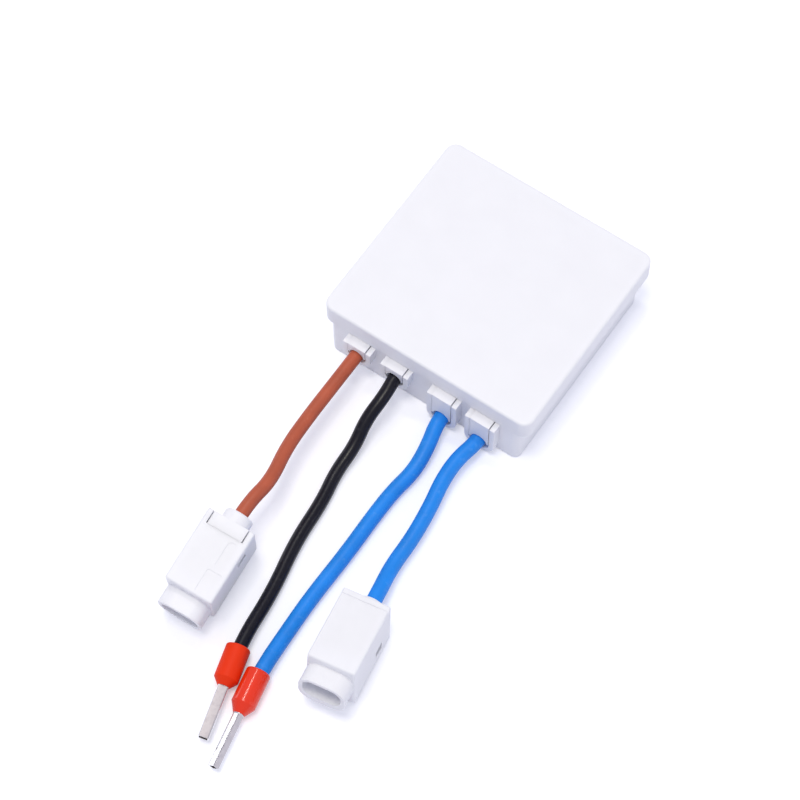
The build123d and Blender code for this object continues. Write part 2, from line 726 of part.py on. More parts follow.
def make_antenna():
    """Folded strip antenna at the radio board's back end."""
    x = radio_left + (radio_size[0] - 4 * antenna_pitch - antenna_width) / 2
    back = radio_front + radio_size[1] - antenna_width
    front = back - antenna_length
    high = radio_top + antenna_thickness
    strip = Part()
    for n in range(5):
        left = x + n * antenna_pitch
        strip += block((left, front, radio_top), (left + antenna_width, back, high))
        if n:
            end = back - antenna_width if n % 2 else front
            strip += block((left - antenna_pitch, end, radio_top), (left, end + antenna_width, high))
    return strip


def make_small_parts():
    """Small chip resistors and capacitors in the free places of the board."""
    wide, deep, high = small_part
    parts = [block((x - wide / 2, y - deep / 2, board_top), (x + wide / 2, y + deep / 2, board_top + high))
             for x, y in small_corners]
    return Compound(children=[s for part in parts for s in part.solids()])


def make_switch():
    """Pairing switch under the board, with a hole for its plunger."""
    x, y = key_at
    body = slab((x - switch_size[0] / 2, y - switch_size[1] / 2, switch_bottom),
                (x + switch_size[0] / 2, y + switch_size[1] / 2, board_bottom), switch_corner)
    return body - rod((x, y, switch_bottom), (0, 0, 1), switch_hole, switch_hole)


def make_plunger():
    """Plunger of the pairing switch; the key sits under it."""
    return rod((*key_at, key_top), (0, 0, 1), plunger_radius, plunger_drop + plunger_depth)


def make_key():
    """Pairing key: a cap recessed in the underside, a collar above the floor and a stem."""
    collar_low = base_floor + key_seat
    key = rod((*key_at, key_recess), (0, 0, 1), key_radius, collar_low - key_recess)
    key = fillet(key.faces().sort_by(Axis.Z)[0].edges(), key_edge)
    key += rod((*key_at, collar_low), (0, 0, 1), key_skirt, key_collar)
    return key + rod((*key_at, collar_low), (0, 0, 1), plunger_radius, key_top - collar_low)


def make_light_pipe():
    """Clear rod from the underside to the lamp, with a flange on the floor."""
    pipe = rod((*pipe_at, key_recess), (0, 0, 1), pipe_radius, board_bottom - lamp_size[2] - key_recess)
    return pipe + rod((*pipe_at, base_floor), (0, 0, 1), pipe_flange, pipe_flange_height)


def make_lamp():
    """Small lamp under the board, above the light pipe."""
    x, y = pipe_at
    wide, deep, high = lamp_size
    return block((x - wide / 2, y - deep / 2, board_bottom - high), (x + wide / 2, y + deep / 2, board_bottom))


def prism(start, length, z_low, z_high, half_low, half_high):
    """Bar along X with a symmetrical section that tapers from one width to another."""
    face = Plane(origin=(start, 0, 0), x_dir=(0, 1, 0), z_dir=(1, 0, 0))
    section = Polygon((-half_low, z_low), (half_low, z_low), (half_high, z_high), (-half_high, z_high), align=None)
    return extrude(face * section, length)


def stadium(start, length, width, height, corner, rise):
    """Bar along X with a rounded section."""
    face = Plane(origin=(start, 0, rise), x_dir=(0, 1, 0), z_dir=(1, 0, 0))
    return extrude(face * RectangleRounded(width, height, corner), length)


def make_casing():
    """Terminal casing: rear at X = 0, wide side at Z = 0, an oval nozzle in front."""
    casing = prism(0, terminal_length, 0, terminal_height, terminal_wide / 2, terminal_narrow / 2)
    casing = fillet(casing.edges().filter_by(Axis.X), terminal_edge)
    casing = fillet(casing.faces().sort_by(Axis.X)[-1].edges(), terminal_edge)
    casing = fillet(casing.faces().sort_by(Axis.X)[0].edges(), rear_edge)
    casing -= block((line_at, -terminal_wide, terminal_height - line_depth),
                    (line_at + line_width, terminal_wide, terminal_height))
    casing += stadium(terminal_length - socket_floor, nozzle_length + socket_floor,
                      nozzle_width, nozzle_height, nozzle_corner, nozzle_rise)
    casing -= stadium(guide_front, socket_depth, nozzle_width - 2 * nozzle_wall,
                      socket_height, nozzle_corner - nozzle_wall, nozzle_rise + socket_lift)
    casing -= rod((guide_rear, 0, nozzle_rise), (1, 0, 0), guide_radius, guide_wall)
    casing -= block((0, -inside_half, terminal_wall), (guide_rear, inside_half, inside_top))
    casing -= block((0, -tongue_half, 0), (cap_tongue, tongue_half, terminal_wall))
    for side in (-1, 1):
        near, far = sorted((side * (inside_half - shelf_reach), side * inside_half))
        casing += block((guide_rear - shelf_length, near, bar_low - shelf_depth), (guide_rear, far, bar_low))
    casing -= block((window_at - window_size[0] / 2, -terminal_wide, window_height - window_size[1] / 2),
                    (window_at + window_size[0] / 2, terminal_wide, window_height + window_size[1] / 2))
    pad = extrude(Pos(*pad_centre) * RectangleRounded(*pad_size, terminal_edge), relief)
    groove = extrude(Pos(*groove_centre) * SlotOverall(*groove_size), relief)
    return casing - pad - groove


def make_end_cap(diameter):
    """End cap: a plate in the rear, a tongue in the wide side and a boss for the wire."""
    cap = block((0, -inside_half + cap_gap, terminal_wall), (cap_wall, inside_half - cap_gap, inside_top - cap_gap))
    cap += block((0, -tongue_half + slit, 0), (cap_tongue - tongue_gap, tongue_half - slit, terminal_wall))
    boss = rod((-boss_length, 0, boss_height), (1, 0, 0), boss_radius, boss_length)
    cap += fillet(boss.faces().sort_by(Axis.X)[0].edges(), terminal_edge)
    return cap - rod((-boss_length, 0, boss_height), (1, 0, 0), diameter / 2 + saddle_gap, boss_length + cap_wall)


def make_bar():
    """Contact bar under the wire's bare end."""
    return block((guide_rear - bar_length, -bar_width / 2, bar_low),
                 (guide_rear, bar_width / 2, bar_low + bar_thickness))


def make_spring():
    """Fixed part of the clamping spring: a leg under the narrow side and a lip on the guide wall."""
    half = spring_width / 2
    leg = block((guide_rear - spring_length, -half, inside_top - spring_thickness), (guide_rear, half, inside_top))
    return leg + block((guide_rear - spring_thickness, -half, inside_top - spring_lip),
                       (guide_rear, half, inside_top))


def make_leaf():
    """Clamping leaf: a rolled root on the hinge line and a blade that falls towards the bar."""
    root = rod((leaf_x, -spring_width / 2, leaf_z), (0, 1, 0), leaf_eye, spring_width)
    blade = Pos(-leaf_length / 2, 0, leaf_eye - spring_thickness / 2) * Box(leaf_length, spring_width, spring_thickness)
    return root + Pos(leaf_x, 0, leaf_z) * Rot(Y=-leaf_angle) * blade


def make_conductor():
    """Bare end of the wire, from the insulation to the bar."""
    return rod((cord_entry - boss_length, 0, boss_height), (1, 0, 0), strand_diameter / 2,
               conductor_reach + boss_length - cord_entry)


def terminal_place(at, yaw, pitch, roll, wide_up):
    """Frame of a terminal, with the lowest corner of its casing on the floor."""
    turn = Rot(Z=yaw) * Rot(Y=pitch) * Rot(X=roll)
    if wide_up:
        turn *= Pos(0, 0, terminal_height) * Rot(X=180)
    lowest = min((turn * Pos(x, side * half, z)).position.Z for x in (0, terminal_length) for side in (-1, 1)
                 for half, z in ((terminal_wide / 2, 0), (terminal_narrow / 2, terminal_height)))
    return Pos(*at, -lowest) * turn


def flare(length, cone, wall):
    """Round taper inside a collar, from the bore's end to the pin's outer end; wall makes it thinner."""
    start = Plane(origin=(length - collar_floor, 0, 0), z_dir=(1, 0, 0))
    return Part() + Solid.make_cone(ferrule_flare - wall, ferrule_pin_radius - wall, collar_floor + cone, start)


def make_collar(length, cone):
    """Plastic collar of a ferrule, from its mouth at X = 0, with a cone down to the pin."""
    axis = (1, 0, 0)
    shoulder = Solid.make_cone(collar_radius, cone_end_radius, cone, Plane(origin=(length, 0, 0), z_dir=axis))
    collar = rod((0, 0, 0), axis, collar_radius, length) + shoulder
    rims = collar.edges().filter_by(GeomType.CIRCLE).sort_by(Axis.X)
    collar = fillet(rims[:-1], collar_edge)
    collar -= rod((0, 0, 0), axis, collar_radius - collar_wall, length - collar_floor)
    return collar - flare(length, cone, 0)


def make_pin(length, cone, reach):
    """Tinned pin of a ferrule, a thin tube with a flared root inside the collar."""
    start = (length + cone, 0, 0)
    pin = flare(length, cone, 0) + rod(start, (1, 0, 0), ferrule_pin_radius, reach)
    hollow = flare(length, cone, ferrule_pin_wall)
    hollow += rod(start, (1, 0, 0), ferrule_pin_radius - ferrule_pin_wall, reach)
    return pin - hollow


def make_strands(length, cone, reach):
    """Bare strands inside a ferrule's pin."""
    radius = ferrule_pin_radius - ferrule_pin_wall - ferrule_strand_gap
    return rod((length - collar_floor, 0, 0), (1, 0, 0), radius, collar_floor + cone + reach - ferrule_strand_inset)


def make_cord(name, x, diameter, height, run, route):
    """Free wire: straight runs joined by arcs; prints its length and its smallest arc."""
    points = [(x, lip_front, height), (x, lip_front - run, height)] + route
    spots = [Vector(*point) for point in points]
    radii = []
    for before, here, after in zip(spots, spots[1:], spots[2:]):
        turn = radians((here - before).get_angle(after - here))
        radii.append(bend_share * min((here - before).length, (after - here).length) / tan(turn / 2))
    route = FilletPolyline(*points, radius=radii)
    section = Plane(origin=points[0], z_dir=spots[1] - spots[0]) * Circle(diameter / 2)
    cord = sweep(section, route)
    expected = pi * diameter ** 2 / 4 * route.length
    print(f"{name}: length {route.length:.1f}, least radius {min(radii):.1f} ({min(radii) / diameter:.1f} diameters), "
          f"volume {cord.volume:.1f} of {expected:.1f}, low {cord.bounding_box().min.Z:.2f}")
    return cord


write("cover", make_cover())
write("base", make_base())
live_clamps = [make_clamp(*row[1:]) for row in exits if row[2] == live_diameter]
neutral_clamps = [make_clamp(*row[1:]) for row in exits if row[2] == neutral_diameter]
write("live_clamps", Compound(children=[s for clamp in live_clamps for s in clamp.solids()]))
write("neutral_clamps", Compound(children=[s for clamp in neutral_clamps for s in clamp.solids()]))
for name, x, diameter, hole, height in exits:
    write(f"tail_{name}", make_tail(x, diameter, height))
write("circuit_board", make_board())
write("solder_joints", make_solder())
write("relay_case", make_relay_case())
write("relay_base", make_relay_base())
write("relay_pins", make_relay_pins())
write("relay_bobbin", make_bobbin())
write("relay_coil", make_coil())
write("relay_core", make_core())
write("relay_yoke", make_yoke())
write("relay_armature", make_armature())
write("relay_moving_contact", make_moving_contact())
write("relay_fixed_contact", make_fixed_contact())
write("smoothing_capacitor", make_capacitor())
write("film_capacitor", make_film_capacitor())
write("varistor", make_varistor())
write("fusible_resistor", make_resistor())
write("choke_core", make_choke_core())
write("choke_winding", make_choke_winding())
write("power_chip", make_chip(chip_size, chip_at, board_top, 1))
write("bridge_rectifier", make_chip(bridge_size, bridge_at, board_bottom, -1))
write("radio_board", make_radio_board())
write("radio_shield", make_radio_shield())
write("radio_antenna", make_antenna())
write("small_parts", make_small_parts())
write("pairing_switch", make_switch())
write("switch_plunger", make_plunger())
write("pairing_key", make_key())
write("light_pipe", make_light_pipe())
write("status_lamp", make_lamp())
for name, at, yaw, pitch, roll, wide_up, diameter in terminals:
    place = terminal_place(at, yaw, pitch, roll, wide_up)
    write(f"{name}_casing", place * make_casing())
    write(f"{name}_end_cap", place * make_end_cap(diameter))
    write(f"{name}_contact_bar", place * make_bar())
    write(f"{name}_spring", place * make_spring())
    write(f"{name}_leaf", place * make_leaf())
    write(f"{name}_conductor", place * make_conductor())
    for label, spot in (("mouth", (-boss_length, 0, boss_height)), ("wire end", (cord_entry - boss_length, 0, boss_height)),
                        ("hinge", (leaf_x, 0, leaf_z)), ("guide", (guide_rear, 0, nozzle_rise)),
                        ("nozzle", (terminal_length + nozzle_length, 0, nozzle_rise))):
        print(name, label, [round(v, 4) for v in (place * Pos(*spot)).position.to_tuple()])
    print(name, "axis", [round(v, 5) for v in Plane(place).x_dir.to_tuple()],
          "side", [round(v, 5) for v in Plane(place).y_dir.to_tuple()])
for name, at, yaw, collar, cone, reach in ferrules:
    place = Pos(*at, collar_radius) * Rot(Z=yaw)
    write(f"{name}_ferrule_collar", place * make_collar(collar, cone))
    write(f"{name}_ferrule_pin", place * make_pin(collar, cone, reach))
    write(f"{name}_ferrule_strands", place * make_strands(collar, cone, reach))
    for label, spot in (("wire end", collar - collar_floor), ("pin root", collar + cone), ("tip", collar + cone + reach)):
        print(name, label, [round(v, 4) for v in (place * Pos(spot, 0, 0)).position.to_tuple()])
for (name, x, diameter, hole, height), run, route in cords:
    write(f"{name}_wire", make_cord(name, x, diameter, height, run, route))
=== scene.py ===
# %% [markdown]
# In-wall micro module
#
# The object is a flat square box with a relay and a radio in it. Four short wires leave its front:
# a brown and a blue one end in small white push-in terminals, a black and a blue one in crimped
# ferrules with orange collars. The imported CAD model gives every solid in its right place, in
# metres, so this scene only adds what a solid can't show: the soft line of the wires, the crimp and
# the strands of the ferrules, the wire on the choke, the finishes, the light and the camera.

# %% Load the frame
import json
import math

import bpy
import numpy as np
from mathutils import Matrix


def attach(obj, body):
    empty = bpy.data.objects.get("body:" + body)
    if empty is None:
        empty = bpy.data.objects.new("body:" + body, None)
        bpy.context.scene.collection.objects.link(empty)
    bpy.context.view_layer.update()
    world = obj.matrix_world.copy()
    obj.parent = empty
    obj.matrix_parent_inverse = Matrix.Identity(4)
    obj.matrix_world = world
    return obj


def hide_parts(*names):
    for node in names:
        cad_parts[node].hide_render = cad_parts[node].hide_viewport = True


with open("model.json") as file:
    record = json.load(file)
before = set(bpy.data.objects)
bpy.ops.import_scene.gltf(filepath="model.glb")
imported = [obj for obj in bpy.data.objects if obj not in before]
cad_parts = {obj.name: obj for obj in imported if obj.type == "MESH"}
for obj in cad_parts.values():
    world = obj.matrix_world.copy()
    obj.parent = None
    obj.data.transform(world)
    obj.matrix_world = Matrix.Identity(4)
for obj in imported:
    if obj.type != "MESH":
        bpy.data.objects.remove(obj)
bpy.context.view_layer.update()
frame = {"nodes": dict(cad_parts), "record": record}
nodes = frame["nodes"]
scene = bpy.context.scene

# %% [markdown]
# Camera
#
# A photograph of a box fixes its camera: the four corners of the cover's top, whose size is known,
# have only one place from which they line up as they do. That place was solved beforehand. It is
# kept here as numbers a reader can follow: the direction of view as azimuth and elevation, a small
# roll, and where the middle of the cover's top lies as the camera sees it. A long lens gives the
# photograph's flat perspective.

# %% Camera
AZIMUTH, ELEVATION, ROLL = (math.radians(angle) for angle in (34.997, 63.481, 0.466))
SEEN_FROM_CAMERA = (0.013069, -0.017512, 0.395992)   # right, down and ahead, in metres
COVER_TOP_MIDDLE = np.array([0.0, 0.00075, 0.012])
LENS_MM, SENSOR_MM = 121.5, 36.0


def camera_axes(azimuth, elevation, roll):
    """Right, down and ahead of a camera. Azimuth 0 looks along +Y. Roll r turns the first two about
    ahead, to right * cos r + down * sin r and down * cos r - right * sin r."""
    ahead = np.array([-math.sin(azimuth) * math.cos(elevation),
                      math.cos(azimuth) * math.cos(elevation), -math.sin(elevation)])
    right = np.array([math.cos(azimuth), math.sin(azimuth), 0.0])
    down = np.cross(ahead, right)
    return (math.cos(roll) * right + math.sin(roll) * down,
            math.cos(roll) * down - math.sin(roll) * right, ahead)


def facing(right, up, ahead, place):
    """Matrix of a camera or a lamp: it looks along its own -Z, and its +Y points up."""
    rows = [(right[i], up[i], -ahead[i], place[i]) for i in range(3)]
    return Matrix(rows + [(0, 0, 0, 1)])


right, down, ahead = camera_axes(AZIMUTH, ELEVATION, ROLL)
eye = COVER_TOP_MIDDLE - sum(step * axis for step, axis
                             in zip(SEEN_FROM_CAMERA, (right, down, ahead)))
lens = bpy.data.cameras.new("photo_camera")
lens.sensor_width = SENSOR_MM
lens.lens = LENS_MM
lens.clip_start = 0.01
camera = bpy.data.objects.new("photo_camera", lens)
scene.collection.objects.link(camera)
camera.matrix_world = facing(right, -down, ahead, eye)
scene.camera = camera
print("camera at", [round(float(v), 4) for v in eye])

# %% [markdown]
# Routes of the wires
#
# Each wire is a stiff stranded conductor in a soft sheath. It leaves the housing straight, dips
# under its own weight and stays in the bends that fingers gave it. The routes are those of the CAD
# wires: a few control points from the grip to the far fitting.

# %% Routes of the wires
LIVE_WIDE, NEUTRAL_WIDE = 0.0021, 0.00235   # metres over the sheath

# Millimetres: where the grip in the housing holds the wires
LIP_FRONT, INNER_EXIT, OUTER_EXIT = -15.05, 4.19, 10.85
LIVE_HIGH, NEUTRAL_HIGH = 5.90, 2.75

# Millimetres, from the grip to the far fitting
ROUTES = {
    "brown_wire": [
        (-OUTER_EXIT, LIP_FRONT, LIVE_HIGH), (-OUTER_EXIT, LIP_FRONT - 3.55, LIVE_HIGH),
        (-10.88, -24.00, 5.80), (-10.87, -29.60, 5.85), (-10.44, -36.00, 6.50),
        (-8.90, -42.00, 7.45), (-9.346, -46.661, 7.967), (-9.137, -50.120, 7.480)],
    "black_wire": [
        (-INNER_EXIT, LIP_FRONT, LIVE_HIGH), (-INNER_EXIT, LIP_FRONT - 2.05, LIVE_HIGH),
        (-3.81, -20.80, 5.45), (-4.24, -24.92, 3.95), (-3.71, -28.69, 2.00), (-3.83, -33.34, 1.06),
        (-2.75, -38.40, 1.06), (-2.27, -45.60, 1.06), (-0.38, -54.00, 1.12), (0.57, -62.79, 1.82),
        (2.0626, -68.0873, 1.82)],
    "long_blue_wire": [
        (INNER_EXIT, LIP_FRONT, NEUTRAL_HIGH), (INNER_EXIT, LIP_FRONT - 3.70, NEUTRAL_HIGH),
        (5.22, -22.85, 2.15), (5.53, -26.90, 1.30), (4.85, -31.05, 1.19), (4.75, -35.90, 1.19),
        (4.90, -43.00, 1.19), (4.69, -51.50, 1.19), (4.99, -58.40, 1.25), (5.42, -64.16, 1.82),
        (6.287, -69.7465, 1.82)],
    "short_blue_wire": [
        (OUTER_EXIT, LIP_FRONT, NEUTRAL_HIGH), (OUTER_EXIT, LIP_FRONT - 3.20, NEUTRAL_HIGH),
        (9.96, -22.10, 2.60), (10.08, -26.20, 2.40), (10.97, -30.62, 2.20), (11.58, -36.13, 2.00),
        (11.57, -41.30, 1.85), (12.615, -46.083, 3.073), (13.1265, -49.2222, 3.4077)],
}
# Width and real length in metres, finish, and how the names of what sits on the far end begin
WIRE_FACTS = {
    "brown_wire": (LIVE_WIDE, 0.0354, "brown_insulation", "left"),
    "black_wire": (LIVE_WIDE, 0.0544, "black_insulation", "black_ferrule"),
    "long_blue_wire": (NEUTRAL_WIDE, 0.0551, "blue_insulation", "blue_ferrule"),
    "short_blue_wire": (NEUTRAL_WIDE, 0.0346, "blue_insulation", "right"),
}
print(len(ROUTES), "routes")

# %% [markdown]
# Wires as smooth lines
#
# A chain of arcs looks like bent rod. One NURBS curve near the control points has the even, lazy
# line of a real wire. A round bevel gives the curve its thickness.

# %% Wires
def smooth_wire(name, points, width):
    """Tube round a NURBS line of order 3, a weighted mean of three control points at a time, which
    are given in millimetres."""
    curve = bpy.data.curves.new(name, "CURVE")
    curve.dimensions = "3D"
    spline = curve.splines.new("NURBS")
    spline.points.add(len(points) - 1)
    for spot, point in zip(spline.points, points):
        spot.co = (point[0] / 1000, point[1] / 1000, point[2] / 1000, 1.0)
        spot.radius = width / 2
    spline.order_u = 3
    spline.use_endpoint_u = True
    spline.resolution_u = 14      # steps along each span
    curve.bevel_depth = 1.0       # times each point's radius, which is half the width
    curve.bevel_resolution = 7    # eighteen sides
    curve.use_fill_caps = True
    wire = bpy.data.objects.new(name, curve)
    scene.collection.objects.link(wire)
    return wire


wires = {}
for name, (width, *_) in WIRE_FACTS.items():
    wires[name] = smooth_wire(f"{name}_sheath", ROUTES[name], width)
    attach(wires[name], "module")
    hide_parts(name)
    print(name, len(ROUTES[name]), "control points")

# %% [markdown]
# Shader values
#
# A pattern on a surface is arithmetic: a roughness plus a little noise, one minus a mask. Written
# as nodes that gets long. This small class wraps a socket, so that it can be added, multiplied or
# raised like a number, and each sign adds its Math node.

# %% Shader values
class Value:
    """A number that flows through a finish; arithmetic on it adds Math nodes."""

    def __init__(self, finish, socket):
        self.finish = finish
        self.socket = socket

    def join(self, kind, first, second):
        """Puts two numbers or links through one Math node."""
        return self.finish.node("ShaderNodeMath", {"operation": kind}, {0: first, 1: second})

    def __add__(self, other):
        return self.join("ADD", self, other)

    def __sub__(self, other):
        return self.join("SUBTRACT", self, other)

    def __rsub__(self, other):
        return self.join("SUBTRACT", other, self)

    def __mul__(self, other):
        return self.join("MULTIPLY", self, other)

    def __pow__(self, other):
        return self.join("POWER", self, other)

    __radd__ = __add__
    __rmul__ = __mul__


print("values can be added, multiplied and raised")

# %% [markdown]
# Finishes
#
# Every surface gets a small node tree: a base colour that drifts a little, a roughness that isn't
# even, and a fine bump at the real scale of the grain. Patterns read Object coordinates, which are
# metres here, so a grain of a fifth of a millimetre is a noise of scale 5000. One class makes all
# the nodes. Only what changes over the surface is linked; plain numbers sit on the shader's
# sockets.

# %% Finishes
# A Mix node has sockets for numbers and vectors too, so those for colours are found by their place
MIX_FACTOR, MIX_FIRST, MIX_SECOND, MIX_COLOUR = 0, 6, 7, 2


class Finish:
    """One material: a Principled shader and the nodes that feed it."""

    def __init__(self, name, roughness, **sockets):
        self.material = bpy.data.materials.new(name)
        self.material.use_nodes = True
        self.tree = self.material.node_tree
        self.shader = self.tree.nodes["Principled BSDF"]
        self.place = self.node("ShaderNodeTexCoord", output="Object")
        self.feed(Roughness=roughness, **sockets)

    def node(self, kind, settings=None, sockets=None, output=0):
        """Makes a node: its settings first, then the values or links of its sockets. Gives one of
        its outputs."""
        made = self.tree.nodes.new(kind)
        for name, setting in (settings or {}).items():
            setattr(made, name, setting)
        self.fill(made, sockets or {})
        return Value(self, made.outputs[output])

    def fill(self, made, sockets):
        """Puts a number, a colour or a link into each named socket."""
        for name, value in sockets.items():
            if isinstance(value, Value):
                self.tree.links.new(value.socket, made.inputs[name])
            else:
                made.inputs[name].default_value = value

    def feed(self, **sockets):
        """Sets sockets of the Principled shader; Base_Color stands for Base Color."""
        self.fill(self.shader, {name.replace("_", " "): value for name, value in sockets.items()})
        return self

    def noise(self, size, detail=2.0, stretch=(1.0, 1.0, 1.0)):
        """Cloudy pattern from 0 to 1 whose blobs are about size metres across."""
        spot = self.node("ShaderNodeMapping", {}, {"Vector": self.place, "Scale": stretch})
        return self.noise_at(spot, 1 / size, detail)

    def noise_at(self, spot, scale, detail):
        """Noise from 0 to 1 at a given place, which may be another one than the surface's own."""
        return self.node("ShaderNodeTexNoise", {},
                         {"Vector": spot, "Scale": scale, "Detail": detail})

    def between(self, value, low, high, start=0.0, end=1.0):
        """Start below low, end above high, and an even climb between them."""
        return self.node("ShaderNodeMapRange", {}, {
            "Value": value, "From Min": low, "From Max": high, "To Min": start, "To Max": end})

    def blend(self, mask, first, second):
        """First colour where the mask is 0, second where it is 1."""
        first, second = ((*colour, 1.0) if isinstance(colour, tuple) else colour
                         for colour in (first, second))
        return self.node("ShaderNodeMix", {"data_type": "RGBA"}, {
            MIX_FACTOR: mask, MIX_FIRST: first, MIX_SECOND: second}, output=MIX_COLOUR)

    def along(self, axis):
        """Place along X, Y or Z, in metres."""
        return self.node("ShaderNodeSeparateXYZ", {}, {"Vector": self.place}, output=axis)

    def away(self, value):
        """How far a value is from 0."""
        return self.node("ShaderNodeMath", {"operation": "ABSOLUTE"}, {0: value})

    def waves(self, value, half):
        """Even zigzag from 0 up to half and back."""
        return self.node("ShaderNodeMath", {"operation": "PINGPONG"}, {0: value, 1: half})

    def over(self, mask, colour, roughness, metallic=0.0):
        """Lays a second look over the first where the mask is 1. Colours are mixed, and a number
        becomes first + mask * (second - first)."""
        laid = {"Base Color": colour, "Roughness": roughness, "Metallic": metallic}
        for name, second in laid.items():
            socket = self.shader.inputs[name]
            first = (Value(self, socket.links[0].from_socket) if socket.is_linked
                     else socket.default_value)
            if name == "Base Color":
                self.fill(self.shader, {name: self.blend(mask, first, second)})
            elif isinstance(first, Value) or first != second:
                self.fill(self.shader, {name: first + mask * (second - first)})
        return self

    def bump(self, height, depth):
        """Raises the surface by height times depth metres."""
        return self.feed(Normal=self.node("ShaderNodeBump", {}, {
            "Strength": 1.0, "Distance": depth, "Height": height}))


def shade(colour, factor):
    """The same colour, lighter or darker."""
    return tuple(min(1.0, part * factor) for part in colour)


print("finishes can be made")

# %% [markdown]
# Moulded plastic
#
# Housing, clamps and terminals come from steel moulds. The housing's mould is spark eroded, which
# leaves a satin grain of about a tenth of a millimetre. The terminals are of a milkier plastic,
# with a coarser and shallower grain. A slow cloud changes the shade by a few percent, as the wall
# thickness does on the real parts, because a white that is even everywhere looks like paper. Both
# oranges reflect little, so that they stay deep.

# %% Moulded plastic
def moulded(name, colour, roughness, grain, depth, drift=0.97, coat=0.0, milky=0.0):
    """Plastic with a fine grain of the given size and depth in metres. The slow cloud darkens it
    down to drift, and light goes 1.5 mm deep into a milky one."""
    finish = Finish(name, roughness, Coat_Weight=coat, Coat_Roughness=0.12, IOR=1.42,
                    Subsurface_Weight=milky, Subsurface_Radius=(1.0, 1.0, 1.0),
                    Subsurface_Scale=0.0015)
    cloud = finish.noise(0.006, 3.0)
    fine = finish.noise(grain)
    wear = finish.between(finish.noise(0.0016, 4.0), 0.52, 0.75)
    tone = finish.blend(finish.between(cloud, 0.3, 0.7), shade(colour, drift), colour)
    finish.feed(Base_Color=tone, Roughness=(roughness + 0.08 * (cloud - 0.5) + 0.05 * (fine - 0.5)
                                            - 0.06 * wear))
    return finish.bump(fine + 0.3 * wear, depth)


WHITE = (0.87, 0.87, 0.91)

# Colour, roughness, size and depth of the grain, then for some: drift, clear coat and milkiness
MOULDED = {
    "housing_white": (WHITE, 0.42, 1.4e-4, 3.5e-6, 0.98, 0.0, 0.25),
    "terminal_white": (WHITE, 0.46, 3.5e-4, 1.2e-6, 0.97, 0.0, 0.35),
    "key_grey": ((0.62, 0.63, 0.67), 0.45, 1.5e-4, 4e-6),
    "plunger_grey": ((0.25, 0.25, 0.27), 0.5, 2e-4, 4e-6),
    "relay_blue": ((0.05, 0.16, 0.38), 0.38, 2.2e-4, 4e-6),
    "relay_black": ((0.03, 0.03, 0.032), 0.5, 2.2e-4, 4e-6),
    "bobbin_nylon": ((0.78, 0.74, 0.62), 0.4, 3e-4, 3e-6),
    "film_box": ((0.72, 0.42, 0.03), 0.32, 4e-4, 3e-6, 0.93, 0.3),
    "ferrule_orange": ((0.84, 0.038, 0.005), 0.5, 5e-4, 3e-6, 0.93),
    "glossy_orange": ((0.85, 0.03, 0.001), 0.5, 5e-4, 1.5e-6, 0.93, 0.75),
}
finishes = {name: moulded(name, *facts) for name, facts in MOULDED.items()}
for name in ("ferrule_orange", "glossy_orange"):
    finishes[name].feed(Specular_IOR_Level=0.2)
print(len(finishes), "moulded finishes")

# %% [markdown]
# Wire sheaths
#
# Soft PVC comes out of the extruder satin, with a slight orange peel. Handling leaves paler scuffs
# on it. Roughness, scuffs and a thin coat in spots break up the long highlight of each wire, as on
# the photographed ones. The black sheath is the smoothest.

# %% Wire sheaths
def sheath(name, colour, pale, roughness, gloss=0.4, shine=0.06):
    """Extruded sheath: an orange peel of about half a millimetre, scuffs towards a pale colour, and
    a skin that shines in spots of a quarter of a millimetre."""
    finish = Finish(name, roughness, IOR=1.46, Specular_IOR_Level=gloss, Coat_Roughness=0.18)
    finish.feed(Coat_Weight=shine * finish.between(finish.noise(0.00025), 0.4, 0.6))
    peel = finish.noise(0.00045)
    cloud = finish.noise(0.0035, 3.0)
    scuff = finish.between(finish.noise(0.0009, 5.0), 0.6, 0.8)
    tone = finish.blend(finish.between(cloud, 0.35, 0.7), shade(colour, 0.9), shade(colour, 1.06))
    finish.feed(Base_Color=finish.blend(0.25 * scuff, tone, pale),
                Roughness=roughness + 0.1 * (cloud - 0.5) + 0.08 * scuff)
    return finish.bump(peel + 0.25 * cloud, 0.000016)


# Colour, scuffed colour, roughness, then for black: gloss and shine
SHEATHS = {
    "brown_insulation": ((0.47, 0.096, 0.044), (0.6, 0.25, 0.17), 0.5),
    "black_insulation": ((0.0065, 0.006, 0.012), (0.09, 0.09, 0.11), 0.34, 0.24, 0.14),
    "blue_insulation": ((0.007, 0.242, 0.82), (0.2, 0.47, 0.9), 0.5),
}
finishes.update({name: sheath(name, *facts) for name, facts in SHEATHS.items()})
for name, (_, _, insulation, _) in WIRE_FACTS.items():
    wires[name].data.materials.append(finishes[insulation].material)
print("sheaths on", len(wires), "wires")

# %% [markdown]
# Metals
#
# Tin, steel, solder and copper differ in colour and in how even their surface is. Each gets a soft
# stain pattern, and a bump that is stretched one way where the sheet was rolled or drawn.

# %% Metals
TIN = (0.74, 0.73, 0.72)


def metal(name, colour, roughness, stain, grain=0.00015, stretch=(1.0, 1.0, 1.0)):
    """Bare metal with stains towards a second colour and a rolled grain, which is shorter along an
    axis by the stretch there."""
    finish = Finish(name, roughness, Metallic=1.0)
    cloud = finish.noise(0.0012, 4.0)
    lines = finish.noise(grain, 2.0, stretch)
    finish.feed(Base_Color=finish.blend(finish.between(cloud, 0.45, 0.8), colour, stain),
                Roughness=roughness + 0.22 * (cloud - 0.5) + 0.12 * (lines - 0.5))
    return finish.bump(lines + 0.6 * cloud, 0.000004)


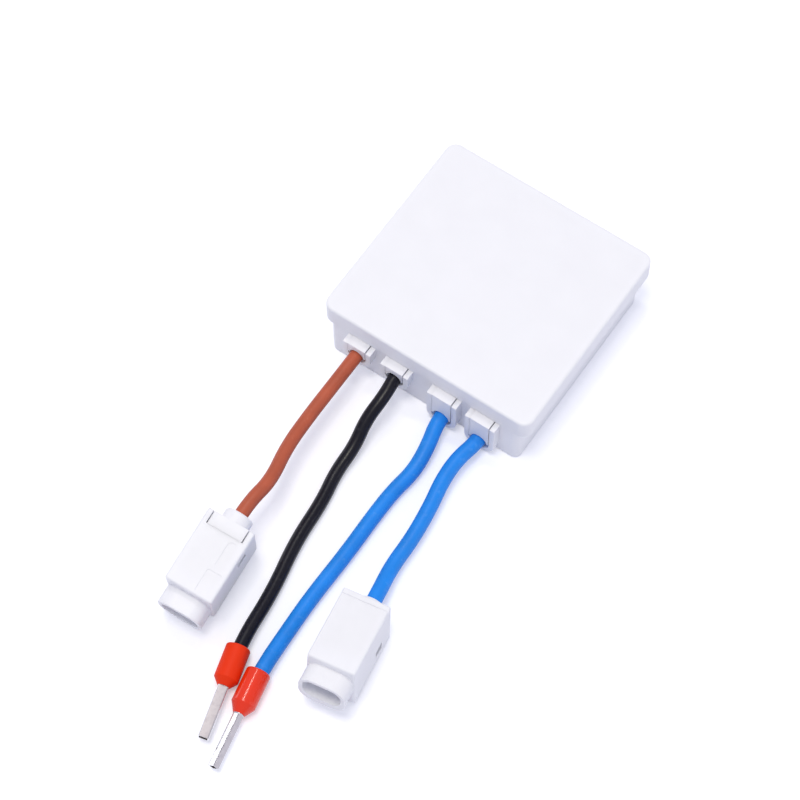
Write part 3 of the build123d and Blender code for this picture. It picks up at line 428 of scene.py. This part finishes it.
# Colour, roughness and stain, then for some: size and stretch of the grain
METALS = {
    "tinned_copper": (TIN, 0.3, (0.6, 0.58, 0.56)),
    "copper_strands": ((0.83, 0.42, 0.25), 0.32, (0.6, 0.27, 0.15)),
    "solder": ((0.7, 0.7, 0.71), 0.24, (0.5, 0.5, 0.52), 4e-4),
    "soft_iron": ((0.56, 0.55, 0.54), 0.36, (0.42, 0.41, 0.4)),
    "contact_copper": ((0.78, 0.5, 0.34), 0.32, (0.55, 0.33, 0.22)),
    "terminal_copper": ((0.76, 0.6, 0.45), 0.3, (0.6, 0.44, 0.3)),
    "spring_steel": ((0.6, 0.6, 0.61), 0.26, (0.45, 0.44, 0.45), 1e-4, (1, 8, 1)),
    "shield_steel": ((0.7, 0.7, 0.7), 0.3, (0.58, 0.57, 0.56), 1e-4, (1, 10, 1)),
    "switch_steel": ((0.66, 0.66, 0.67), 0.3, (0.5, 0.5, 0.5)),
    "antenna_gold": ((0.85, 0.6, 0.22), 0.25, (0.7, 0.46, 0.15)),
    "enamelled_copper": ((0.62, 0.22, 0.07), 0.28, (0.42, 0.12, 0.04), 3e-4),
    "wound_copper": ((0.66, 0.24, 0.075), 0.28, (0.46, 0.14, 0.045), 3e-4),
}
finishes.update({name: metal(name, *facts) for name, facts in METALS.items()})
print(len(finishes), "finishes so far")

# %% [markdown]
# Ceramics and coatings
#
# The rest of the inside: sintered ferrite and ceramic, dipped and shrunk coats, the clear light
# pipe and the yellow window of the lamp. Fine dark specks and a rough skin tell them from plastic.

# %% Ceramics and coatings
def coated(name, colour, dark, roughness, size, depth, coat=0.0):
    """Dipped, printed or sintered surface: dark specks of the given size and a rough skin."""
    finish = Finish(name, roughness, Coat_Weight=coat, Coat_Roughness=0.15)
    speck = finish.noise(size, 5.0)
    cloud = finish.noise(0.004, 3.0)
    finish.feed(Base_Color=finish.blend(finish.between(speck, 0.4, 0.7), colour, dark),
                Roughness=roughness + 0.14 * (cloud - 0.5))
    return finish.bump(speck + cloud, depth)


# Colour, specks, roughness, size of the specks and depth of the skin, then for some: clear coat
COATED = {
    "radio_board_black": ((0.02, 0.028, 0.045), (0.012, 0.016, 0.028), 0.3, 9e-4, 5e-6, 0.3),
    "capacitor_sleeve": ((0.05, 0.06, 0.09), (0.035, 0.042, 0.065), 0.25, 1.6e-3, 6e-6, 0.3),
    "varistor_coat": ((0.03, 0.12, 0.42), (0.022, 0.09, 0.34), 0.34, 5e-4, 2e-5, 0.2),
    "resistor_coat": ((0.2, 0.37, 0.26), (0.15, 0.3, 0.21), 0.5, 3e-4, 1.4e-5),
    "ferrite": ((0.075, 0.075, 0.08), (0.045, 0.045, 0.05), 0.6, 1.8e-4, 1e-5),
    "ceramic": ((0.42, 0.29, 0.18), (0.34, 0.22, 0.13), 0.45, 2e-4, 6e-6),
    "lamp_body": ((0.86, 0.82, 0.6), (0.8, 0.72, 0.42), 0.3, 4e-4, 3e-6, 0.2),
}
finishes.update({name: coated(name, *facts) for name, facts in COATED.items()})
clear = Finish("clear_acrylic", 0.08, Base_Color=(0.95, 0.96, 0.97, 1.0), Transmission_Weight=0.85,
               IOR=1.49)
finishes["clear_acrylic"] = clear.bump(clear.noise(0.0006), 0.000002)
print(len(finishes), "finishes")

# %% [markdown]
# Printed board
#
# The main board's tracks lie under its solder mask, so they show as lighter green lines that stand
# up a little. They could be cut as strips, but as a pattern they cost nothing: the place is snapped
# to blocks, and each block's own noise says if it holds lines, and which way they run.

# %% Printed board
TRACK_PITCH = 0.0009


def printed_board(name, colour, copper):
    """Solder mask over printed tracks. A zigzag along X and one along Y give two sets of parallel
    lines. A noise of each block's own chooses between the sets, and another leaves blocks empty."""
    finish = Finish(name, 0.32, Coat_Weight=0.3, Coat_Roughness=0.15)
    blocks = finish.node("ShaderNodeVectorMath", {"operation": "SNAP"},
                         {0: finish.place, 1: (TRACK_PITCH, TRACK_PITCH, TRACK_PITCH)})
    lines = [finish.between(finish.waves(finish.along(axis), TRACK_PITCH / 2),
                            0.30 * TRACK_PITCH, 0.33 * TRACK_PITCH) for axis in ("X", "Y")]
    turned = finish.between(finish.noise_at(blocks, 160.0, 0.0), 0.495, 0.505)
    filled = finish.between(finish.noise_at(blocks, 290.0, 0.0), 0.44, 0.45)
    track = filled * (lines[0] * turned + lines[1] * (1 - turned))
    weave = finish.noise(0.0009, 3.0)
    mask = finish.blend(weave, colour, shade(colour, 0.75))
    finish.feed(Base_Color=finish.blend(track, mask, copper),
                Roughness=0.34 - 0.06 * track + 0.1 * (weave - 0.5))
    return finish.bump(track + 0.2 * weave, 0.00003)


finishes["board_green"] = printed_board("board_green", (0.016, 0.14, 0.058), (0.035, 0.235, 0.095))
print("tracks", 1000 * TRACK_PITCH, "mm apart")

# %% [markdown]
# Leads, bands and a winding
#
# Some parts are one solid with two or three looks: a coated body and bare tinned leads, a sleeve
# with a pale stripe on its minus side, colour bands on a resistor, wire on a bobbin with painted
# shade in the grooves between its turns. A mask on Object coordinates says where each look
# begins, so it stays where the part is.

# %% Leads, bands and a winding
CHIP_BLACK, CHIP_DOT = (0.028, 0.028, 0.031), (0.012, 0.012, 0.013)
BAND_BROWN, BAND_BLACK, BAND_GOLD = (0.16, 0.05, 0.015), (0.012, 0.011, 0.011), (0.45, 0.27, 0.05)
# The second colour here is painted shade for the grooves between the coil's turns
STRIPE_PALE, GROOVE_SHADE = (0.42, 0.44, 0.5), (0.16, 0.045, 0.012)

# Places in metres. A pair is where one look ends and where the next one has fully begun
RESISTOR_MIDDLE, COAT_END, BAND_EDGE = 0.0096, (0.003, 0.00303), (0.0002, 0.00023)
BANDS = {-0.0015: BAND_BROWN, -0.0005: BAND_BLACK, 0.0005: BAND_BLACK, 0.0017: BAND_GOLD}
STRIPE_NEAR, STRIPE_FAR = (-0.002, -0.00197), (-0.00113, -0.0011)
STRIPE_FOOT, SLEEVE_END = (0.0073, 0.0074), (-0.00398, -0.00396)
VARISTOR_X, VARISTOR_Z, VARISTOR_RADIUS = 0.0012, 0.0075, 0.00256
CHIP_MIDDLES = {"power_chip": -0.0046, "bridge_rectifier": 0.0037}
CHIP_SIDE = (0.00195, 0.00197)
DOT_X, DOT_Y, DOT_RADIUS = 0.0043, -0.0058, 0.0003
COIL_WIRE_HALF, GROOVE_SIDE = 0.0001, (0.00006, 0.0001)


def ring_mask(finish, first, second, radius):
    """1 inside a circle round the place where both values are 0, and 0 outside it, from the sum of
    their squares."""
    return finish.between(first ** 2 + second ** 2, (0.97 * radius) ** 2, radius ** 2, 1.0, 0.0)


def bare_tin(finish, mask):
    """Tinned metal where the mask is 1."""
    return finish.over(mask, TIN, 0.3, 1.0)


resistor = finishes["resistor_coat"]
middle = resistor.along("X") - RESISTOR_MIDDLE
for offset, colour in BANDS.items():
    band = resistor.between(resistor.away(middle - offset), *BAND_EDGE, 1.0, 0.0)
    resistor.over(band, colour, 0.42)
bare_tin(resistor, resistor.between(resistor.away(middle), *COAT_END))

sleeve = finishes["capacitor_sleeve"]
side = sleeve.along("Y")
stripe = sleeve.between(side, *STRIPE_NEAR) * sleeve.between(side, *STRIPE_FAR, 1.0, 0.0)
sleeve.over(stripe * sleeve.between(sleeve.along("Z"), *STRIPE_FOOT), STRIPE_PALE, 0.35)
bare_tin(sleeve, sleeve.between(sleeve.along("X"), *SLEEVE_END))

dipped = finishes["varistor_coat"]
disc = ring_mask(dipped, dipped.along("X") - VARISTOR_X, dipped.along("Z") - VARISTOR_Z,
                 VARISTOR_RADIUS)
bare_tin(dipped, 1 - disc)

for name, y in CHIP_MIDDLES.items():
    chip = finishes[name] = moulded(name, CHIP_BLACK, 0.55, 1e-4, 6e-6, 0.85)
    bare_tin(chip, chip.between(chip.away(chip.along("Y") - y), *CHIP_SIDE))
chip = finishes["power_chip"]
dot = ring_mask(chip, chip.along("X") - DOT_X, chip.along("Y") - DOT_Y, DOT_RADIUS)
chip.over(dot, CHIP_DOT, 0.35)

coil = finishes["wound_copper"]
# Painted shade: the grooves between the turns are coloured dark; the bump gives their relief
groove_and_shade = coil.between(coil.waves(coil.along("X"), COIL_WIRE_HALF), *GROOVE_SIDE)
coil.over(groove_and_shade, GROOVE_SHADE, 0.5, 1.0).bump(1 - groove_and_shade, 0.00004)
print(len(finishes), "finishes in all")

# %% [markdown]
# Dress the CAD nodes
#
# The frame's nodes already have the right shapes. Each one takes the finish of its slot in the
# record, so the same names tie the CAD, the record and the looks together. A few nodes have a
# finish of their own: of the two collars, the black wire's is dull and only the blue wire's shines,
# and the chips and the coil have masks that fit their own places.

# %% Dress the CAD nodes
slots = {part["node"]: part["material_slot"] for part in frame["record"]["subparts"]}
own_finish = {"blue_ferrule_collar": "glossy_orange", "power_chip": "power_chip",
              "bridge_rectifier": "bridge_rectifier", "relay_coil": "wound_copper"}
for name, obj in nodes.items():
    for holder in obj.material_slots:
        holder.material = finishes[own_finish.get(name, slots[name])].material
print(len(slots), "nodes dressed")

# %% [markdown]
# Rings
#
# The crimped pins, the bare strands, the sheaths' cut ends and the choke's winding are all one kind
# of surface: a row of rings of points. The rings are worked out as one array, so the whole shape is
# a formula with two inputs, the place along the piece and the angle round it.

# %% Rings
AROUND = 64
TURN = np.linspace(0, 2 * math.pi, AROUND, endpoint=False)


def unit(vector):
    """The vector at length one."""
    return np.asarray(vector, float) / np.linalg.norm(vector)


def cross_axes(ahead, lean):
    """Sideways and upward axes across a level direction. Up leans to the right of upright by an
    angle in degrees: cos * upright + sin * right."""
    upright = np.array([0.0, 0.0, 1.0])
    sideways = np.cross(upright, ahead)
    angle = math.radians(lean)
    up = math.cos(angle) * upright + math.sin(angle) * sideways
    return np.cross(up, ahead), up


def rounded_ring(half_wide, half_high, squareness):
    """Points x = a |cos|^(2/n), y = b |sin|^(2/n) with their signs: round at n = 2, squarer above.
    The inputs are arrays with one value per ring, and the result is (rings, points, 2)."""
    power = 2 / np.asarray(squareness, float)[:, None]
    wide = np.asarray(half_wide)[:, None] * np.sign(np.cos(TURN)) * np.abs(np.cos(TURN)) ** power
    high = np.asarray(half_high)[:, None] * np.sign(np.sin(TURN)) * np.abs(np.sin(TURN)) ** power
    return np.stack([wide, high], axis=-1)


def placed(flat, steps, root, ahead, lean):
    """Rings in space: the root, plus a step ahead, plus the ring's two coordinates along the leaned
    axes."""
    sideways, up = cross_axes(ahead, lean)
    return (np.asarray(root) + np.asarray(steps)[:, None, None] * ahead
            + flat[..., :1] * sideways + flat[..., 1:] * up)


print("rings of", AROUND, "points")

# %% [markdown]
# Skins over rings
#
# Rings that follow each other are joined by quads. A solid piece gets a flat face at each end. A
# tube wall runs out along its outside and back along its inside, and the last ring is joined to the
# first, so it needs no end faces.

# %% Skins over rings
SHARP = math.radians(38)   # edges steeper than this stay crisp


def skin(name, sheets, slot, closed_loop=False):
    """One piece from sheets of rings, each an array (rings, points, 3) in millimetres. Points turn
    left round the way in which the rings follow each other, so that the faces point outwards."""
    corners, faces, start = [], [], 0
    for rings in sheets:
        count, around, _ = rings.shape
        here = start + np.arange(count * around).reshape(count, around)
        ahead = np.roll(here, -1, axis=0)
        if not closed_loop:
            faces += [here[0][::-1].tolist(), here[-1].tolist()]
            here, ahead = here[:-1], ahead[:-1]
        quads = np.stack([here, np.roll(here, -1, axis=1), np.roll(ahead, -1, axis=1), ahead],
                         axis=-1)
        faces += quads.reshape(-1, 4).tolist()
        corners.append(rings.reshape(-1, 3))
        start += count * around
    mesh = bpy.data.meshes.new(name)
    mesh.from_pydata((np.concatenate(corners) / 1000).tolist(), [], faces)
    mesh.shade_smooth()
    mesh.set_sharp_from_angle(angle=SHARP)
    mesh.materials.append(finishes[slot].material)
    piece = bpy.data.objects.new(name, mesh)
    scene.collection.objects.link(piece)
    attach(piece, "module")
    return piece


print("edges over", round(math.degrees(SHARP)), "degrees stay crisp")

# %% [markdown]
# Marks of the crimping tool
#
# A ferrule's pin starts as a round tinned tube with a flared root. The crimping tool presses it
# square round the strands, so it carries flat, dull faces, where the tool's jaws left a fine grain,
# between narrow edges. The black wire's pin is pressed wide and flat from the collar on and lies on
# its face. The blue wire's pin is square and lies turned, so that two of its faces show, one bright
# and one dull. The dull faces are also darker than tin, partly as painted shade, and two edges of
# the blue wire's pin carry dark lines of painted shade.

# %% Marks of the crimping tool
def both_faces(turn):
    """Matte and darker, partly as painted shade, on both broad faces, by 1.35 |sin|^3 - 0.1 held
    between 0 and 1, and no line of painted shade.
    """
    return np.clip(1.35 * np.abs(np.sin(turn)) ** 3 - 0.1, 0, 1), np.zeros_like(turn)


def turned_faces(turn):
    """Matte and darker, partly as painted shade, on the face between 20 and 132 degrees. A narrow
    line of painted shade runs at 134 degrees and a wide one at 222, and each fades out over six
    degrees."""
    matte_and_shaded = np.where((turn > math.radians(20)) & (turn < math.radians(132)), 0.8, 0.0)
    # Dark lines of painted shade along two edges of the pin
    crease_shades = sum(np.clip(broad - np.abs(turn - math.radians(edge)) / math.radians(6), 0, 1)
                  for edge, broad in ((134, 2.0), (222, 5.0)))
    return matte_and_shaded, crease_shades


# Millimetres: root and tip, lean of the upper face in degrees, half width and half height, length
# inside the collar, start of the crimp from the root, and the marks
FERRULES = {
    "black_ferrule": ((2.4969, -69.6272, 1.82), (4.6685, -77.3269, 1.82), 7.0, 0.79, 0.58,
                      1.6, -0.55, both_faces),
    "blue_ferrule": ((6.6799, -71.7075, 1.82), (8.3302, -79.9438, 1.82), 53.0, 0.6, 0.59,
                     2.0, -0.35, turned_faces),
}
print(len(FERRULES), "ferrules")

# %% [markdown]
# Pressed tin
#
# Two attributes on the pin's points say how much the jaws pressed them and where a line of painted
# shade runs along an edge. The finish reads both, so its matte faces, darker partly as painted
# shade, and its shade lines lie exactly where the form has them.

# %% Pressed tin
def pressed_tin():
    """Tin that is bright where the first attribute is 0, and matte, grainy and darker where it is
    1, the darkness partly painted shade. The second attribute marks dark lines of painted shade."""
    finish = Finish("pressed_tin", 0.3, Metallic=1.0)
    pressed_and_shaded, crease_shade = (finish.node("ShaderNodeAttribute", {"attribute_name": name}, output="Fac")
                       for name in ("pressed_and_shaded", "crease_shade"))
    grain = finish.noise(0.00009, 3.0)
    stain = finish.between(finish.noise(0.0007, 4.0), 0.45, 0.75)
    # Matte colour, darker than tin: partly the real grain, partly painted shade
    matte_and_shaded = finish.blend(stain, (0.47, 0.44, 0.465), (0.4, 0.37, 0.4))
    flat = finish.blend(pressed_and_shaded, (0.9, 0.9, 0.92), matte_and_shaded)
    # Painted shade: dark lines along the pin's edges, from the second attribute
    finish.feed(Base_Color=finish.blend(crease_shade, flat, (0.13, 0.12, 0.13)),
                Roughness=0.2 + 0.32 * pressed_and_shaded + 0.1 * (grain - 0.5))
    return finish.bump(pressed_and_shaded * (grain + 0.4 * stain), 0.000007)


finishes["pressed_tin"] = pressed_tin()
print("pressed_tin made")

# %% [markdown]
# Crimped pins
#
# Each ring of a pin is a circle that turns square as the tool's press comes on. The outside and the
# inside are the same row of rings, one wall apart.

# %% Crimped pins
# Millimetres
PIN_WALL, PIN_ROUND = 0.15, 0.75      # wall, and half width where the pin is round
FLARE_ROUND, FLARE_END = 0.95, 0.4    # half width of the root, which ends this far before the crimp
CRIMP_RUN = 0.6                       # length over which round turns square
RIPPLE, RIPPLE_PITCH = 0.003, 1.3     # marks of the tool's jaws

SQUARE_GAIN = 5.5                     # added to the 2 of a circle where the pin is pressed


def way(root, tip):
    """Direction and distance from one point to another."""
    return unit(np.subtract(tip, root)), np.linalg.norm(np.subtract(tip, root))


def crimped_pin(name, root, tip, lean, half_wide, half_high, buried, start, marks):
    """Tube wall: a flared round root that turns square over the crimp's run, by the smooth step
    3 t^2 - 2 t^3, then flat faces with a sine ripple to the cut tip. Rings stand closest where the
    form changes."""
    ahead, reach = way(root, tip)
    steps = np.concatenate([[-buried, start - 0.3], np.linspace(start, start + CRIMP_RUN, 10),
                            np.linspace(start + 0.8, reach - 0.1, 30), [reach]])
    press = np.clip((steps - start) / CRIMP_RUN, 0, 1)
    press = press * press * (3 - 2 * press)
    ripple = RIPPLE * press * np.sin(2 * math.pi * steps / RIPPLE_PITCH)
    round_half = np.where(steps < start - FLARE_END, FLARE_ROUND, PIN_ROUND)
    wide = round_half + (half_wide - PIN_ROUND) * press
    high = round_half + (half_high - PIN_ROUND) * press + ripple
    square = 2 + SQUARE_GAIN * press
    outside, inside = (placed(rounded_ring(wide - wall, high - wall, square), steps, root, ahead,
                              lean) for wall in (0.0, PIN_WALL))
    piece = skin(name, [np.concatenate([outside, inside[::-1]])], "pressed_tin", closed_loop=True)
    # The second mark is painted shade along the pin's edges
    for mark, round_it in zip(("pressed_and_shaded", "crease_shade"), marks(TURN)):
        seen = press[:, None] * round_it[None, :]
        values = np.concatenate([seen, 0 * seen])   # the inside carries no marks
        attribute = piece.data.attributes.new(mark, "FLOAT", "POINT")
        attribute.data.foreach_set("value", values.ravel().astype(np.float32))
    return piece


pins = {}
for name, facts in FERRULES.items():
    pins[name] = crimped_pin(f"{name}_crimp", *facts)
    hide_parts(f"{name}_pin")
    print(name, len(pins[name].data.polygons), "faces")

# %% [markdown]
# Bare strands
#
# The wires are stranded: each conductor is a bundle of one strand in the middle, six round it and
# twelve round those, with a slow twist. In a crimped pin the bundle takes the pin's width and
# height. Each strand is a thin rod of seven sides, and its end is cut a little longer or shorter
# than its neighbours', as side cutters leave it.

# %% Strand bundles
# Distance from the middle, as a share of the bundle's half width like the radius, and angle
STRAND_PLACES = ([(0.0, 0.0)] + [(0.4, k * math.pi / 3) for k in range(6)]
                 + [(0.8, (k + 0.5) * math.pi / 6) for k in range(12)])
STRAND_RADIUS, STRAND_SIDES = 0.2, 7

# Millimetres
TWIST = math.radians(12)                 # for each millimetre
UNEVEN = 0.07                            # half of what the cut ends differ by
STRAND_PLAY, STRANDS_SHORT = 0.02, 0.8   # room to the pin's wall, and from their ends to its tip


def strands(name, root, ahead, length, half_wide, half_high, lean=0.0):
    """Nineteen rods. At s along, one that starts at angle a lies at cos(a + t s) and sin(a + t s)
    times its distance, where t is the twist, and the whole is scaled to the bundle's half sizes."""
    sideways, up = cross_axes(ahead, lean)
    around = np.linspace(0, 2 * math.pi, STRAND_SIDES, endpoint=False)
    sheets = []
    for number, (out, start) in enumerate(STRAND_PLACES):
        steps = np.linspace(0, length - UNEVEN * (1 + math.sin(2.4 * number)), 16)
        turn = start + TWIST * steps
        wide = half_wide * (out * np.cos(turn)[:, None] + STRAND_RADIUS * np.cos(around))
        high = half_high * (out * np.sin(turn)[:, None] + STRAND_RADIUS * np.sin(around))
        sheets.append(np.asarray(root) + steps[:, None, None] * ahead
                      + wide[..., None] * sideways + high[..., None] * up)
    return skin(name, sheets, "copper_strands")


for name, (root, tip, lean, half_wide, half_high, buried, *_) in FERRULES.items():
    ahead, reach = way(root, tip)
    bundle = strands(f"{name}_bundle", np.asarray(root) - (buried - STRAND_PLAY) * ahead, ahead,
                     buried + reach - STRANDS_SHORT, half_wide - PIN_WALL - STRAND_PLAY,
                     half_high - PIN_WALL - STRAND_PLAY, lean)
    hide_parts(f"{name}_strands")
    pins[f"{name}_strands"] = bundle
    print(bundle.name, len(bundle.data.polygons), "faces")

# %% [markdown]
# Wire ends on the board
#
# Inside the grip each sheath ends in a clean cut, and the strands go on to their solder on the
# board. In the solids a wire's end is one piece. Here it is two, a sheath and its strands, because
# they have different finishes.

# %% Wire ends on the board
# Millimetres
END_SHEATH, END_BARE = 3.4, 2.4          # sheath behind the grip, and bare strands beyond it
CUT_ROUND, CUT_FACE = 0.08, 0.35         # rounding of the cut, and from the rim to its middle face
STRANDS_INSIDE, END_BUNDLE = 0.3, 0.65   # strands inside the sheath, and half width of the bundle
backwards = np.array([0.0, 1.0, 0.0])
for name, (width, _, insulation, _) in WIRE_FACTS.items():
    x, y, z = ROUTES[name][0]
    steps = np.array([0.0, 0.8, 1.6, 2.4, END_SHEATH - CUT_ROUND, END_SHEATH, END_SHEATH])
    half = 1000 * width / 2 - np.array([0, 0, 0, 0, 0, CUT_ROUND, CUT_FACE])
    rings = placed(rounded_ring(half, half, 2 + 0 * half), steps, (x, y, z), backwards, 0.0)
    sheath_end = skin(f"{name}_end", [rings], insulation)
    bare = strands(f"{name}_strands", (x, y + END_SHEATH - STRANDS_INSIDE, z), backwards,
                   END_BARE + STRANDS_INSIDE, END_BUNDLE, END_BUNDLE)
    for piece in (sheath_end, bare):
        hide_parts("tail_" + name.removesuffix("_wire"))
    print(name, "ends in", sheath_end.name, "and", bare.name)

# %% [markdown]
# Choke winding
#
# The choke is a drum of ferrite with enamelled wire wound on its waist. The solid is a plain ring.
# The piece is one wire in a helix, whose turns touch: its radius stays, and it climbs by its own
# thickness at each turn.

# %% Choke winding
# Millimetres, then counts
CHOKE_X, CHOKE_Y, WINDING_LOW, WINDING_HIGH = 0.0, -2.9, 5.65, 8.65
WINDING_RADIUS, WINDING_WIRE, TURN_GAP = 2.45, 0.36, 0.004
STEPS_A_TURN, WIRE_SIDES = 44, 10


def rod_along(path, radius):
    """Rings of a radius square to a path. The path's steps give the direction. One axis of a ring
    is the cross product of upright and the direction, and the other is square to both."""
    ahead = np.gradient(path, axis=0)
    ahead /= np.linalg.norm(ahead, axis=1, keepdims=True)
    side = np.cross([0.0, 0.0, 1.0], ahead)
    side /= np.linalg.norm(side, axis=1, keepdims=True)
    over = np.cross(ahead, side)
    turn = np.linspace(0, 2 * math.pi, WIRE_SIDES, endpoint=False)[None, :, None]
    return path[:, None] + radius * (np.cos(turn) * side[:, None] + np.sin(turn) * over[:, None])


turns = (WINDING_HIGH - WINDING_LOW) / WINDING_WIRE - 1
angle = np.linspace(0, 2 * math.pi * turns, int(STEPS_A_TURN * turns))
reach = WINDING_RADIUS - WINDING_WIRE / 2
helix = np.stack([CHOKE_X + reach * np.cos(angle), CHOKE_Y + reach * np.sin(angle),
                  WINDING_LOW + WINDING_WIRE / 2 + WINDING_WIRE * angle / (2 * math.pi)], axis=-1)
winding = skin("choke_winding_wire", [rod_along(helix, WINDING_WIRE / 2 - TURN_GAP)],
               "enamelled_copper")
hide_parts("choke_winding")
print(round(turns, 1), "turns")

# %% [markdown]
#
# The pieces on each wire's far end are gathered: the CAD nodes whose names begin as its fitting's,
# without the fitting's pin and strands, and the crimped pins and strand bundles made here. They
# are only counted.

for name, (width, length, _, fitting) in WIRE_FACTS.items():
    carried = [obj for node, obj in nodes.items()
               if node.startswith(fitting) and node not in (f"{fitting}_pin", f"{fitting}_strands")]
    carried += [piece for label, piece in pins.items() if label.startswith(fitting)]
    tuple(v / 1000 for v in ROUTES[name][0])
    print(name, "carries", len(carried), "pieces")

# %% [markdown]
# Floor
#
# The photograph's ground is pure white. The floor is a plain pale sheet that glows for the camera,
# and for what metal and glass mirror or let through. Light Path says which ray asks, so the object
# gets no more light from it, and the floor keeps its soft shadow.

# %% Floor
FLOOR_HALF, FLOOR_LEVEL = 3, -0.00002   # metres; the sheet lies a hair below the object
corners = [(x * FLOOR_HALF, y * FLOOR_HALF, FLOOR_LEVEL)
           for x, y in ((-1, -1), (1, -1), (1, 1), (-1, 1))]
floor_mesh = bpy.data.meshes.new("studio_floor")
floor_mesh.from_pydata(corners, [], [(0, 1, 2, 3)])
floor = bpy.data.objects.new("studio_floor", floor_mesh)
scene.collection.objects.link(floor)
ground = Finish("studio_floor", 0.9, Base_Color=(0.77, 0.78, 0.85, 1.0), Specular_IOR_Level=0.2)
floor_mesh.materials.append(ground.material)
lit = Value(ground, ground.shader.outputs[0])
glow = ground.node("ShaderNodeEmission", {}, {"Color": (1.0, 1.0, 1.0, 1.0), "Strength": 0.32})
glowing = ground.node("ShaderNodeAddShader", {}, {0: lit, 1: glow})
seen, mirrored, through = (ground.node("ShaderNodeLightPath", output=f"Is {ray} Ray")
                           for ray in ("Camera", "Glossy", "Transmission"))
mixed = ground.node("ShaderNodeMixShader", {}, {0: seen + mirrored + through, 1: lit, 2: glowing})
ground.tree.links.new(mixed.socket, ground.tree.nodes["Material Output"].inputs["Surface"])
print("floor made")

# %% [markdown]
# Lamps and world
#
# Soft light from above makes the top the brightest face, and the front faces turn a pale lavender
# grey. One soft lamp hangs high. A narrow strip behind draws the thin line on the shiny collar, and
# a low lamp at the left whitens one facet of the square pin. Both stand where the eye sees them
# mirrored there, worked out from the camera's real place, because it is near. A weak lamp fills
# from the right. The world is a plain pale blue grey.

# %% Lamps and world
LIT_POINT = np.array([0.0, -0.03, 0.0])   # the lamps face the middle of the object

# Place and two sizes in metres, the way the first size runs, watts and colour
LAMPS = {
    "key_light": ((-0.02, -0.16, 1.05), 0.3, 0.3, (1, 0, 0), 4.3, (1.0, 0.95, 0.8)),
    "back_light": ((-0.265, 0.21, 1.031), 0.34, 0.07, (0.98, 0.196, 0), 1.6, (1.0, 0.97, 0.9)),
    "left_light": ((-0.94, 0.0, 0.125), 0.24, 0.24, (0, 1, 0), 0.35, (1.0, 0.97, 0.95)),
    "side_light": ((0.95, 0.25, 0.3), 0.5, 0.5, (0, 1, 0), 0.8, (1.0, 0.95, 0.9)),
}


def softbox(name, place, wide, high, across, power, colour):
    """Oblong lamp that faces the object; its wide side runs along a direction."""
    lamp = bpy.data.lights.new(name, "AREA")
    lamp.shape = "RECTANGLE"
    lamp.size = wide
    lamp.size_y = high
    lamp.energy = power
    lamp.color = colour
    obj = bpy.data.objects.new(name, lamp)
    scene.collection.objects.link(obj)
    forward = unit(LIT_POINT - np.array(place))
    side = unit(np.array(across) - np.dot(across, forward) * forward)
    obj.matrix_world = facing(side, np.cross(side, forward), forward, place)


for name, facts in LAMPS.items():
    softbox(name, *facts)
world = bpy.data.worlds.new("studio")
scene.world = world
world.use_nodes = True
sky = world.node_tree.nodes["Background"]
sky.inputs["Color"].default_value = (0.815, 0.845, 1.0, 1.0)
sky.inputs["Strength"].default_value = 0.65
scene.view_settings.view_transform = "Standard"
print(len(LAMPS), "lamps")

# %% [markdown]
# Finish
#
# The view layer is brought up to date.

# %% Finish
bpy.context.view_layer.update()
